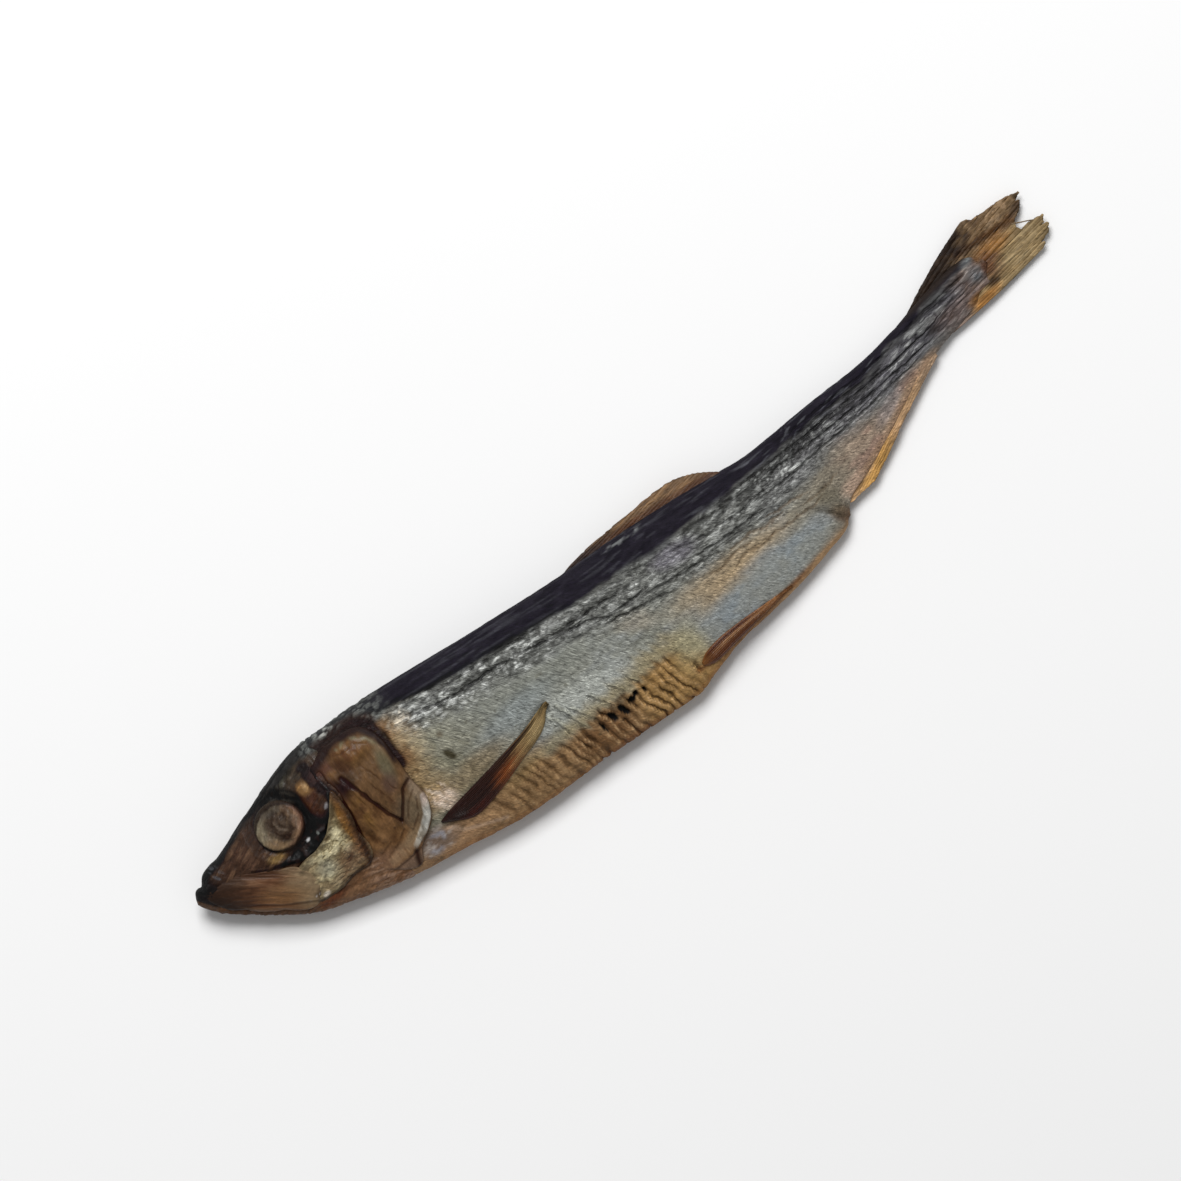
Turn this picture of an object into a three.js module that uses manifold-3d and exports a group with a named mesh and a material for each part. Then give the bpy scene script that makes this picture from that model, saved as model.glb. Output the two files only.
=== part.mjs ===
// A whole dried herring, lying on its right flank. Units are millimetres.
// The fish is drawn with x from the tip of the lower jaw to the tail, y from the belly to the back, and z
// up from the surface it lies on. It is one piece: body, head bones and fins grow together.
import * as THREE from "three";
import { mergeVertices } from "three/addons/utils/BufferGeometryUtils.js";
import Module from "manifold-3d";

const wasm = await Module();
wasm.setup();

// ---- sizes of the body ----

const BODY = 224.5; // tip of the jaw to the end of the flesh in the tail
const ALONG = 100; // stations from snout to tail
const ROUND = 32; // points round each station
const NOSE_STEP = 0.55; // share of an even step that the stations at the snout take

// Height of the back and of the keel of the belly, as [x, y].
const BACK_LINE = [
  [0, 0], [0.5, 1.2], [1.3, 2.3], [2.3, 2.65], [3.3, 2.5], [5, 4.2], [7.5, 5], [10, 5.2], [20, 8.3],
  [30, 11.2], [39, 12.8], [50, 12.4], [65, 10.8], [85, 7.8], [105, 5.2], [125, 3.5], [140, 1.6],
  [150, 0.1], [156, -0.8], [175, -0.9], [188, -1.2], [198, -0.4], [205, 0.7], [213, 2], [220, 2.1],
  [223, 0.8], [BODY, -2],
];
const BELLY_LINE = [
  [0, 0], [0.5, -1.2], [1.2, -2.3], [3, -4.7], [6, -7.9], [10, -11.4], [15, -15.2], [20, -18.4],
  [25, -20.3], [35, -23.8], [44, -26.2], [55, -28.4], [65, -30.6], [75, -31.8], [88, -32.5],
  [100, -33.5], [110, -34.5], [116, -34.8], [122, -33.2], [130, -31.6], [140, -31], [150, -30],
  [158, -28.6], [163, -27.5], [165.5, -25.8], [168, -23], [175, -20.8], [185, -16.9], [195, -12.9],
  [205, -9.9], [214, -8.1], [220, -6.6], [223, -5], [BODY, -2],
];
// Half the thickness of the body, and how high its middle plane lies, as [x, mm].
const HALF_THICKNESS = [
  [0, 0], [0.6, 1.2], [3, 2.6], [10, 4.5], [20, 6.3], [30, 7.3], [42, 8.3], [55, 8.5], [75, 8.8],
  [100, 8.4], [125, 7.4], [150, 6], [175, 4.4], [195, 3.2], [210, 2.4], [220, 1.7], [BODY, 0],
];
const MIDDLE_HEIGHT = [[0, 5.4], [30, 6], [60, 6.4], [100, 6.2], [150, 4.8], [200, 3], [240, 1.9]];
const LEAN = 0.1; // the back lies higher than the belly, by this share of the depth
const BELLY_SHARE = 0.55; // thickness at the keel, as a share of the thickness above it
const FULL_FROM = 0.3; // where the section is full, from -1 at the keel to 1 at the back
const SOFT_REST = 0.35; // how gently the flank flattens where it rests
const REACH = 30; // further than any flank is from the middle plane
const OUTLINE_STEPS = 2; // straight steps between two points of an outline
const CLEAN = 0.03; // the finest detail kept after joining

// ---- sizes of the head ----

const EYE = { x: 25.3, y: 2, ball: 5.6, ballRise: 1, socket: 8.4, socketDepth: 0.7, round: 28 };
// Each plate lies proud of the head by its rise, given along x, and sinks into the head at its front.
const JAW = {
  rise: [[2, 0.1], [9, 0.4], [24, 0.85]],
  outline: [
    [2.6, 1], [8, 0.6], [14, -2.1], [19, -5.2], [22.6, -8.2], [24.3, -12], [23, -15.6], [20.4, -16.9],
    [14, -12.9], [8, -8], [3.4, -3.4],
  ],
};
const CHEEK = {
  rise: [[14, -0.3], [26, 0.5], [39, 1.3]],
  outline: [
    [20.5, -16.6], [25, -17.4], [31, -16.9], [35.8, -17], [38, -10], [39.4, -4], [38.8, 1.5], [30, -2],
    [18, -5],
  ],
};
const GILL_COVER = {
  rise: [[24, -0.3], [38, 0.4], [46, 0.8], [56, 1]],
  outline: [
    [38, 7], [47, 9], [53, 7.4], [55.2, 3.5], [55.4, -3], [54.2, -8.4], [53.8, -13], [51.5, -17.6],
    [46.5, -21], [43.7, -24.6], [38, -21.5], [31, -14], [33, -4],
  ],
};

// ---- sizes of the fins ----

const PECTORAL = {
  rise: [[52, 1.5], [88, 0.8]],
  outline: [
    [52.8, -20.2], [60, -18.9], [70, -17.7], [80, -16.2], [84, -15], [87.8, -14.7], [87.4, -16.2],
    [83.5, -18.3], [76, -20.8], [67, -23.2], [60, -24.1], [55.5, -22.3],
  ],
};
const PELVIC = {
  rise: [[119, 1.3], [140, 0.7]],
  outline: [
    [119.5, -31.8], [121.5, -28.9], [126, -28], [132, -28.2], [139, -29], [136, -30.6], [128, -31.4],
  ],
};
const DORSAL = {
  thick: 1.3,
  height: 7.1,
  droop: 0.28,
  outline: [
    [106, 2], [109, 4.8], [115, 5.6], [128, 5.8], [139, 5.5], [144.5, 3.6], [149.3, 0.1], [149, -2.5],
    [128, 0.5],
  ],
};
const ANAL = {
  thick: 1.4,
  height: 2.5,
  droop: 0,
  outline: [
    [166.5, -22], [167.5, -23.9], [170, -23.5], [174.5, -23.2], [177.5, -22.1], [186, -18.1],
    [196, -13.6], [204, -10.3], [203, -8.5], [185, -14.5], [172, -19],
  ],
};
// The tail fin is broken: its lobes end in torn rays, with a deep gap between them.
const TAIL = {
  thick: 1.5,
  height: 1.9,
  droop: 0,
  outline: [
    [200, -2.5], [203, 0.5], [210, 2.9], [215, 5], [220, 7.1], [225.2, 8.7], [226.8, 8.4], [228, 7.2],
    [232, 7.2], [236.5, 6.7], [240, 5.5], [238.3, 4.9], [238.9, 4], [237.6, 2.6], [235.4, 1.6],
    [234.6, 0], [235.3, -1.5], [237.8, -1.1], [241, -1.7], [240, -2.7], [240.6, -3.9], [239.7, -5.1],
    [236.8, -5.9], [237.4, -6.6], [236, -7.2], [228, -8.2], [218, -8.9], [208, -8.9],
  ],
};

// ---- shapes ----

// The value at x of a smooth curve through knots of [x, value].
function through(knots, x) {
  const last = knots.length - 1;
  const i = Math.min(Math.max(knots.findIndex((k) => k[0] > x) - 1, 0), last - 1);
  const n = x >= knots[last][0] ? last - 1 : i;
  const slope = (k) => {
    const [a, b] = [knots[Math.max(k - 1, 0)], knots[Math.min(k + 1, last)]];
    return (b[1] - a[1]) / (b[0] - a[0]);
  };
  const step = knots[n + 1][0] - knots[n][0];
  const t = THREE.MathUtils.clamp((x - knots[n][0]) / step, 0, 1);
  const [t2, t3] = [t * t, t * t * t];
  return (
    (2 * t3 - 3 * t2 + 1) * knots[n][1] +
    (t3 - 2 * t2 + t) * step * slope(n) +
    (3 * t2 - 2 * t3) * knots[n + 1][1] +
    (t3 - t2) * step * slope(n + 1)
  );
}

// A height above the surface, flattened where it would sink in.
function rested(z) {
  if (z > SOFT_REST) return z;
  return z < -SOFT_REST ? 0 : (z + SOFT_REST) ** 2 / (4 * SOFT_REST);
}

// The point of the skin at x, a turn round the section: the back at 0, the upper flank at a quarter turn,
// the keel at half a turn. The skin can be drawn larger by rise, for what lies on it.
function skinPoint(x, turn, rise = 0) {
  const back = through(BACK_LINE, x);
  const keel = through(BELLY_LINE, x);
  const half = (back - keel) / 2;
  const [across, side] = [Math.cos(turn), Math.sin(turn)];
  const filled = THREE.MathUtils.smoothstep(across, -1, FULL_FROM);
  const fullness = THREE.MathUtils.lerp(BELLY_SHARE, 1, filled);
  const height = through(MIDDLE_HEIGHT, x) + LEAN * half * across;
  return new THREE.Vector3(
    x,
    (back + keel) / 2 + (half + rise) * across,
    rested(height + side * (through(HALF_THICKNESS, x) * fullness + rise)),
  );
}

// The height of the skin over a place on the upper flank, or under it on the lower flank.
function skinHeight(x, y, side) {
  const [back, keel] = [through(BACK_LINE, x), through(BELLY_LINE, x)];
  const turn = Math.acos(THREE.MathUtils.clamp((2 * y - back - keel) / (back - keel), -1, 1));
  return skinPoint(x, side * turn).z;
}

// The body, from a sphere whose rings become the stations from snout to tail. It can be drawn larger by
// a rise that changes along it.
function bodyGeometry(rise = [[0, 0], [BODY, 0]]) {
  const geometry = new THREE.SphereGeometry(1, ROUND, ALONG);
  const { position, uv } = geometry.attributes;
  for (let i = 0; i < position.count; i++) {
    const v = 1 - uv.getY(i);
    const x = BODY * (NOSE_STEP * v + (1 - NOSE_STEP) * v * v);
    const atPole = v < 1e-6 || v > 1 - 1e-6;
    const point = skinPoint(x, -uv.getX(i) * 2 * Math.PI, atPole ? 0 : through(rise, x));
    position.setXYZ(i, point.x, point.y, point.z);
  }
  return geometry;
}

// A smooth closed outline through the points.
function rounded(points) {
  const corners = points.map(([x, y]) => new THREE.Vector3(x, y, 0));
  const curve = new THREE.CatmullRomCurve3(corners, true, "centripetal");
  const steps = curve.getPoints(points.length * OUTLINE_STEPS).slice(0, -1);
  return new THREE.Shape(steps.map((p) => new THREE.Vector2(p.x, p.y)));
}

// The torn edge of the tail has corners, so its outline runs straight between its points.
function torn(points) {
  return new THREE.Shape(points.map(([x, y]) => new THREE.Vector2(x, y)));
}

// A thin fin as a flat blade round its height, sloping down by droop towards its free edge.
function finGeometry(shape, fin) {
  const geometry = new THREE.ExtrudeGeometry(shape, { depth: fin.thick, bevelEnabled: false, steps: 1 });
  geometry.translate(0, 0, fin.height - fin.thick / 2);
  const { position } = geometry.attributes;
  for (let i = 0; i < position.count; i++) {
    position.setZ(i, position.getZ(i) - fin.droop * position.getY(i));
  }
  return geometry;
}

// ---- solids ----

function solidOf(geometry) {
  geometry.deleteAttribute("normal");
  geometry.deleteAttribute("uv");
  const merged = mergeVertices(geometry, 1e-3);
  return new wasm.Manifold(
    new wasm.Mesh({
      numProp: 3,
      vertProperties: merged.attributes.position.array,
      triVerts: new Uint32Array(merged.index.array),
    }),
  );
}

function geometryOf(solid) {
  const { numProp, vertProperties, triVerts } = solid.getMesh();
  const places = new THREE.InterleavedBuffer(vertProperties, numProp);
  const geometry = new THREE.BufferGeometry();
  geometry.setAttribute("position", new THREE.InterleavedBufferAttribute(places, 3, 0));
  geometry.setIndex(new THREE.BufferAttribute(triVerts, 1));
  return geometry;
}

// A plate or a folded fin that lies on a flank: the larger skin, cut to the outline on that side.
function lyingOn(piece, side) {
  const prism = new THREE.ExtrudeGeometry(rounded(piece.outline), { depth: REACH, bevelEnabled: false });
  const middle = through(MIDDLE_HEIGHT, piece.outline[0][0]);
  prism.translate(0, 0, side > 0 ? middle : middle - REACH);
  return solidOf(bodyGeometry(piece.rise)).intersect(solidOf(prism));
}

// A flat dome on the flank, as the eyeball is, or the hollow that is cut for it.
function dome(radius, halfHeight, z) {
  const geometry = new THREE.SphereGeometry(radius, EYE.round, EYE.round / 2);
  geometry.scale(1, 1, halfHeight / radius);
  geometry.translate(EYE.x, EYE.y, z);
  return solidOf(geometry);
}

function withEye(solid, side) {
  const skin = skinHeight(EYE.x, EYE.y, side);
  const socket = dome(EYE.socket, 2 * EYE.socketDepth, skin + side * EYE.socketDepth);
  const ball = dome(EYE.ball, 2 * EYE.ballRise, skin - side * EYE.ballRise);
  return solid.subtract(socket).add(ball);
}

// ---- the herring ----

let solid = solidOf(bodyGeometry());
for (const side of [1, -1]) {
  solid = solid.add(lyingOn(CHEEK, side)).add(lyingOn(GILL_COVER, side)).add(lyingOn(JAW, side));
  solid = withEye(solid, side);
  solid = solid.add(lyingOn(PECTORAL, side)).add(lyingOn(PELVIC, side));
}
solid = solid
  .add(solidOf(finGeometry(rounded(DORSAL.outline), DORSAL)))
  .add(solidOf(finGeometry(rounded(ANAL.outline), ANAL)))
  .add(solidOf(finGeometry(torn(TAIL.outline), TAIL)));

// What would sink into the surface is pressed flat, and the slivers that the joining leaves are taken out.
solid = solid.trimByPlane([0, 0, 1], 0).simplify(CLEAN);

const skinFinish = new THREE.MeshStandardMaterial({ color: 0x7a7870, roughness: 0.45, metalness: 0.25 });
const herring = new THREE.Mesh(geometryOf(solid), skinFinish);
herring.name = "herring";

// The origin is on the surface, under the middle of the fish.
const box = new THREE.Box3().setFromObject(herring);
herring.position.set(-(box.min.x + box.max.x) / 2, -(box.min.y + box.max.y) / 2, -box.min.z);

const fish = new THREE.Group();
fish.add(herring);
export default fish;
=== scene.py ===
import itertools
import math

import bmesh
import bpy
import numpy as np
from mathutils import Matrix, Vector


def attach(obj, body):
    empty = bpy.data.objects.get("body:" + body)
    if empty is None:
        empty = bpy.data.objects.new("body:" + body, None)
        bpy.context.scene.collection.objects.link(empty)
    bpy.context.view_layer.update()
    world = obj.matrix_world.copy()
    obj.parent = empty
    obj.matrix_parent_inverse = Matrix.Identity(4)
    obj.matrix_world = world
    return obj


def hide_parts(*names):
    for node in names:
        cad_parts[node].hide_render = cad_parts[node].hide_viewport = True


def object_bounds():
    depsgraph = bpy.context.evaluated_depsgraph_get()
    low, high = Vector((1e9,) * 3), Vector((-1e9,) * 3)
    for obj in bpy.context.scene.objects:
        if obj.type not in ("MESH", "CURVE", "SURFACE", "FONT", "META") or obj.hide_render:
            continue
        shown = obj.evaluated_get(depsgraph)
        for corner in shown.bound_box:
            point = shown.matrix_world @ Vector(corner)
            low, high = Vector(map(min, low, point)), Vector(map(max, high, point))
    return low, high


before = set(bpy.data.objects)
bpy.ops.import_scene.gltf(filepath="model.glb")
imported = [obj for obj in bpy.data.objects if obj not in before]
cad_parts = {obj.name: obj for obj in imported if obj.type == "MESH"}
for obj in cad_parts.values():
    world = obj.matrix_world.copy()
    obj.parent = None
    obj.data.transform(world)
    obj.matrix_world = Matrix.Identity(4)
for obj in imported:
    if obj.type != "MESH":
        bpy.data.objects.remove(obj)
cad_low, cad_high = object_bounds()


# ---- the trunk ----
# The body behind the head: firm dried flesh inside its skin. As it dried, the skin shrank into folds along
# the upper flank and into ribs across the thin wall of the belly.

WHOLE = 241.0  # tip of the jaw to the tips of the tail
FLESH = 224.5  # tip of the jaw to the end of the flesh in the tail
BACK_LINE = (
    (0, 0), (0.5, 1.2), (1.3, 2.3), (2.3, 2.65), (3.3, 2.5), (5, 4.2), (7.5, 5), (10, 5.2), (20, 8.3),
    (30, 11.2), (39, 12.8), (50, 12.4), (65, 10.8), (85, 7.8), (105, 5.2), (125, 3.5), (140, 1.6), (150, 0.1),
    (156, -0.8), (175, -0.9), (188, -1.2), (198, -0.4), (205, 0.7), (213, 2), (220, 2.1), (223, 0.8),
    (FLESH, -2),
)
KEEL_LINE = (
    (0, 0), (0.5, -1.2), (1.2, -2.3), (3, -4.7), (6, -7.9), (10, -11.4), (15, -15.2), (20, -18.4),
    (25, -20.3), (35, -23.8), (44, -26.2), (55, -28.4), (65, -30.6), (75, -31.8), (88, -32.5), (100, -33.5),
    (110, -34.5), (116, -34.8), (122, -33.2), (130, -31.6), (140, -31), (150, -30), (158, -28.6),
    (163, -27.5), (165.5, -25.8), (168, -23), (175, -20.8), (185, -16.9), (195, -12.9), (205, -9.9),
    (214, -8.1), (220, -6.6), (223, -5), (FLESH, -2),
)
HALF_THICKNESS = (
    (0, 0), (0.6, 1.2), (3, 2.6), (10, 4.5), (20, 6.3), (30, 7.3), (42, 8.3), (55, 8.5), (75, 8.8),
    (100, 8.4), (125, 7.4), (150, 6), (175, 4.4), (195, 3.2), (210, 2.4), (218, 1.5), (222, 0.9), (FLESH, 0),
)
MIDDLE_HEIGHT = ((0, 5.4), (30, 6), (60, 6.4), (100, 6.2), (150, 4.8), (200, 3), (240, 1.9))
LEAN = 0.1  # the back lies higher than the belly, by this share of the depth
KEEL_SHARE = 0.55  # thickness at the keel, as a share of the thickness above it
FULL_FROM = 0.3  # where the section is full, from -1 at the keel to 1 at the back
SOFT_REST = 0.35  # how gently the flank flattens on the table

TRUNK_START = 36.0  # hidden in the head
TRUNK_FULL = 42.0  # where it has come up to its full size
TRUNK_TUCK = 3.2  # how much narrower it starts
TRUNK_ROUND = 244
TRUNK_ALONG = 400
TRUNK_LOWEST = 0.2
TRUNK_DENSITY = ((TRUNK_START, 1), (50, 1.3), (60, 1.5), (85, 1.7), (125, 1.7), (140, 1.2), (FLESH, 1.2))
CLOSING_SHARE = 0.004  # share of the way from pole to pole in which a tube closes
EVEN_SPACING = 0.2  # evens out the points between the sharp edges and the broad flanks

# The fields of colour on a flank are bounded by lines along the body, as (x, y).
MATTE_EDGE = (
    (36, 10), (50, 9), (62, 6.4), (68, 4.4), (75, 3.2), (86, 1.4), (98, -0.4), (110, -2.4), (120, -3),
    (128, -4.1), (150, -4.8), (170, -4.7), (188, -4.5), (195, -3), (202, -2.2), (209, -0.6), (FLESH, 0.4),
)
FOLDED_EDGE = (
    (36, 6), (55, 3), (62, 0), (75, -3.5), (95, -6), (110, -10), (125, -13.5), (145, -14.6), (160, -13.6),
    (172, -11.2), (185, -10), (200, -9), (FLESH, -8),
)
OCHRE_EDGE = (
    (36, -16), (50, -20.5), (60, -22), (75, -22), (82, -23.8), (90, -24.3), (104, -24), (114, -23.6),
    (119, -25.4), (124, -29), (135, -29.8), (150, -28.8), (160, -27), (FLESH, -26),
)


def smooth(value, start, end):
    """0 up to start, 1 from end on, and a gentle step between."""
    t = np.clip((value - start) / (end - start), 0, 1)
    return t * t * (3 - 2 * t)


def through(knots, x):
    """The height at x of a smooth curve through knots of (x, height)."""
    at, height = np.array(knots, float).T
    last = len(at) - 1
    ahead = np.minimum(np.arange(len(at)) + 1, last)
    behind = np.maximum(np.arange(len(at)) - 1, 0)
    slope = (height[ahead] - height[behind]) / (at[ahead] - at[behind])
    n = np.clip(np.searchsorted(at, x, side="right") - 1, 0, last - 1)
    step = at[n + 1] - at[n]
    t = np.clip((x - at[n]) / step, 0, 1)
    start = (2 * t**3 - 3 * t**2 + 1) * height[n] + (t**3 - 2 * t**2 + t) * step * slope[n]
    end = (3 * t**2 - 2 * t**3) * height[n + 1] + (t**3 - t**2) * step * slope[n + 1]
    return start + end


def rested(z):
    """Heights above the table, flattened where they would sink into it."""
    soft = (z + SOFT_REST) ** 2 / (4 * SOFT_REST)
    return np.where(z > SOFT_REST, z, np.where(z < -SOFT_REST, 0, soft))


def skin(x, turn, rise=0.0):
    """Places at x on the skin. The turn is 0 at the back, a quarter on the left flank, a half at the keel."""
    back, keel = through(BACK_LINE, x), through(KEEL_LINE, x)
    half = (back - keel) / 2
    across = np.cos(turn)
    full = KEEL_SHARE + (1 - KEEL_SHARE) * smooth(across, -1, FULL_FROM)
    thick = through(HALF_THICKNESS, x) * full + rise
    z = through(MIDDLE_HEIGHT, x) + LEAN * half * across + np.sin(turn) * thick
    return np.column_stack((x, (back + keel) / 2 + (half + rise) * across, rested(z)))


def on_flank(x, y, rise, side):
    """Places above the left flank (side 1) or the right flank (side -1), by their x and y."""
    back, keel = through(BACK_LINE, x), through(KEEL_LINE, x)
    across = np.clip((2 * y - back - keel) / (back - keel + 2 * rise), -1, 1)
    return skin(x, side * np.arccos(across), rise)


MM = (cad_high.x - cad_low.x) / WHOLE
LOWEST_KEEL = through(KEEL_LINE, np.linspace(100, 130, 301)).min()


def into_frame(places):
    """Places in millimetres, set into the part's frame in metres."""
    return places * MM + np.array((cad_low.x, cad_low.y - LOWEST_KEEL * MM, 0))


def grain(x, y, z=0.0, seed=0):
    """Smooth noise from -1 to 1, with a lump at about every whole step of x, y and z."""
    places = np.stack(np.broadcast_arrays(x, y, z)).astype(float)
    cell = np.floor(places).astype(np.int64)
    t = places - cell
    t = t * t * t * (t * (6 * t - 15) + 10)
    total = np.zeros(places.shape[1:])
    for corner in itertools.product((0, 1), repeat=3):
        cx, cy, cz = (cell[i] + corner[i] for i in range(3))
        # large primes turn each corner of the cell into a number that looks random
        mixed = (cx * 73856093) ^ (cy * 19349663) ^ (cz * 83492791) ^ ((seed + 1) * 2654435761)
        mixed = (mixed ^ (mixed >> 13)) * 1274126177 & 0xFFFFFFFF
        mixed = (mixed ^ (mixed >> 16)) * 2246822519 & 0xFFFFFFFF
        weight = np.prod([t[i] if corner[i] else 1 - t[i] for i in range(3)], axis=0)
        total += weight * ((mixed >> 8) / 2**23 - 1)
    return total


def cloudy(x, y, z=0.0, seed=0):
    """Three sizes of grain on each other."""
    return sum(grain(x * 2**k, y * 2**k, z * 2**k, seed + k) / 2**k for k in range(3)) / 1.5


def folds(x, y, z=0.0, seed=0):
    """Rounded ridges with sharp creases between them: 0 in a crease, 1 on a ridge."""
    return np.minimum(np.abs(grain(x, y, z, seed) + 0.35 * grain(2 * x, 2 * y, 2 * z, seed + 1)) * 1.9, 1)


def beside(x, y, points):
    """How far each place is to the left of a line through points, or to the right of it as minus."""
    nearest = np.full(np.shape(x), 1e9)
    for (ax, ay), (bx, by) in zip(points, points[1:]):
        dx, dy = bx - ax, by - ay
        along = np.clip(((x - ax) * dx + (y - ay) * dy) / (dx**2 + dy**2), 0, 1)
        away = np.hypot(x - ax - along * dx, y - ay - along * dy)
        to_left = np.where(dx * (y - ay) > dy * (x - ax), away, -away)
        nearest = np.where(away < np.abs(nearest), to_left, nearest)
    return nearest


def to_line(x, y, points):
    """How far each place is from a line through points, in millimetres."""
    return np.abs(beside(x, y, points))


def stroke(x, y, points, width):
    """1 along a line, fading to 0 at half its width to either side."""
    return 1 - smooth(to_line(x, y, points), 0, width / 2)


def waning(x, points):
    """1 along a line that runs tailwards, fading to 0 at both its ends."""
    start, end = points[0][0], points[-1][0]
    reach = 0.3 * (end - start)
    return smooth(x, start, start + reach) * (1 - smooth(x, end - reach, end))


def tapered(x, y, points, width):
    """1 in a crease along a line that runs tailwards, which narrows to nothing at both its ends."""
    full = waning(x, points)
    return smooth(stroke(x, y, points, width * (0.2 + 0.8 * full)), 0.05, 0.75) * smooth(full, 0, 0.2)


def patch(x, y, middle, size, lean=0.0, soft=0.5):
    """1 inside an oval of that size, turned by lean degrees, with a soft edge."""
    c, s = math.cos(math.radians(lean)), math.sin(math.radians(lean))
    dx, dy = x - middle[0], y - middle[1]
    reach = np.hypot((dx * c + dy * s) / size[0], (dy * c - dx * s) / size[1])
    return 1 - smooth(reach, 1 - soft, 1 + soft)


def as_light(colour):
    """A colour as it is seen, 0 to 255, as linear light."""
    seen = np.array(colour) / 255
    return np.where(seen <= 0.04045, seen / 12.92, ((seen + 0.055) / 1.055) ** 2.4)


SHEEN = 0.011  # how much the sheen of the skin adds to every colour
DARKEST = 0.003
LINE_REACH, LINE_FADED = 0.45, 0.7  # how far a fine line reaches to each side, in millimetres


class Finish:
    """What the surface of a piece is like at each of its points: relief in millimetres, colour, gloss from
    dull to glassy, silver from plain to metallic, how strongly it is wrinkled and hatched, and how strong
    the nearest fine line is and how far off, in millimetres."""

    def __init__(self, count, colour, gloss, silver, wrinkle=0.0, hatch=0.0):
        self.relief = np.zeros(count)
        self.tint = np.tile(as_light(colour), (count, 1))
        self.gloss = np.full(count, float(gloss))
        self.silver = np.full(count, float(silver))
        self.wrinkle = np.full(count, float(wrinkle))
        self.hatch = np.full(count, float(hatch))
        self.line = np.zeros(count)
        self.offset = np.full(count, 2.0)

    def wash(self, mask, colour=None, **others):
        if colour is not None:
            self.tint += mask[:, None] * (as_light(colour) - self.tint)
        for name, value in others.items():
            kept = getattr(self, name)
            kept += mask * (value - kept)

    def shade(self, factor):
        self.tint *= np.asarray(factor)[:, None]

    def crease(self, mask, depth, colour, strength=0.8):
        # Sinks the crease and darkens it with painted shade.
        self.relief -= depth * mask
        self.wash(strength * mask, colour, silver=0.0)

    def draw(self, offset, strength):
        """A fine crease, where the offset to it passes through 0: the material paints shade along it and a
        highlight on one lip.
        """
        near = strength * (1 - smooth(np.abs(offset), LINE_REACH, LINE_FADED))
        nearer = (near > 0.02) & (np.abs(offset) < np.abs(self.offset))
        self.line = np.where(nearer, near, self.line)
        self.offset = np.where(nearer, offset, self.offset)


def places_of(mesh):
    """The points of a mesh, as an array."""
    flat = np.empty(len(mesh.vertices) * 3)
    mesh.vertices.foreach_get("co", flat)
    return flat.reshape(-1, 3)


def move_points(mesh, places):
    mesh.vertices.foreach_set("co", places.ravel())
    mesh.update()


def keep_on_points(mesh, name, kind, field, values):
    """Stores values on the points of a mesh, for its material to read."""
    mesh.attributes.new(name, kind, "POINT").data.foreach_set(field, values.ravel())


def keep_finish(mesh, finish, laid=None):
    """Stores the finish on the mesh, with the places that its wrinkles are laid out by.
    The sheen of the skin lightens every colour a little, so that much is taken off first."""
    deeper = (finish.tint - SHEEN) / (1 - SHEEN)
    colour = np.column_stack((np.clip(deeper, DARKEST, 1), np.ones(len(finish.gloss))))
    keep_on_points(mesh, "tint", "FLOAT_COLOR", "color", colour)
    for name in ("gloss", "silver", "wrinkle", "hatch", "line"):
        keep_on_points(mesh, name, "FLOAT", "value", np.clip(getattr(finish, name), 0, 1))
    keep_on_points(mesh, "offset", "FLOAT", "value", finish.offset)
    laid = places_of(mesh) if laid is None else laid
    keep_on_points(mesh, "laid", "FLOAT_VECTOR", "vector", laid / 1000)


def raise_relief(mesh, relief, lowest):
    """Moves each point along its normal by its relief, but not below its lowest height, all in millimetres.
    On the flank that the fish lies on, the outermost pieces come lowest, so that no two share a plane."""
    normals = np.empty(len(mesh.vertices) * 3)
    mesh.vertex_normals.foreach_get("vector", normals)
    places = places_of(mesh) + normals.reshape(-1, 3) * relief[:, None]
    places[:, 2] = np.maximum(places[:, 2], lowest)
    move_points(mesh, places)


def in_scene(name, data):
    """An object in the scene, of a mesh, a lamp or a camera."""
    thing = bpy.data.objects.new(name, data)
    bpy.context.collection.objects.link(thing)
    return thing


def show(mesh, material):
    """Makes a piece of a finished mesh, smooth shaded, that rides on the part and stands for its solid."""
    move_points(mesh, into_frame(places_of(mesh)))
    mesh.polygons.foreach_set("use_smooth", np.ones(len(mesh.polygons), bool))
    mesh.materials.append(material)
    piece = in_scene(mesh.name, mesh)
    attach(piece, "root")
    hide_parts("herring")
    return piece


def mesh_of(bm, name):
    """The mesh of a shape from bmesh."""
    mesh = bpy.data.meshes.new(name)
    bm.to_mesh(mesh)
    bm.free()
    return mesh


def round_ball(name, around, along):
    """A ball's mesh, with each point's turn about its axis and its share of the way from pole to pole."""
    bm = bmesh.new()
    bmesh.ops.create_uvsphere(bm, u_segments=around, v_segments=along, radius=1)
    mesh = mesh_of(bm, name)
    x, y, z = places_of(mesh).T
    return mesh, np.arctan2(y, x), np.arccos(np.clip(-z, -1, 1)) / math.pi


def node_group(name, inputs, outputs):
    """A shader node group, with the names and kinds of its sockets."""
    group = bpy.data.node_groups.new(name, "ShaderNodeTree")
    for way, sockets in (("INPUT", inputs), ("OUTPUT", outputs)):
        for socket, kind in sockets.items():
            group.interface.new_socket(name=socket, in_out=way, socket_type="NodeSocket" + kind)
    return group, group.nodes.new("NodeGroupInput").outputs, group.nodes.new("NodeGroupOutput").inputs


def join(tree, socket, value):
    """Links a socket to an output, or sets it where the value is a constant."""
    if isinstance(value, bpy.types.NodeSocket):
        tree.links.new(value, socket)
    else:
        socket.default_value = value


def fitted(tree, node, **values):
    """A new node with its named inputs linked or set."""
    for name, value in values.items():
        join(tree, node.inputs[name.replace("_", " ")], value)
    return node


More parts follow.
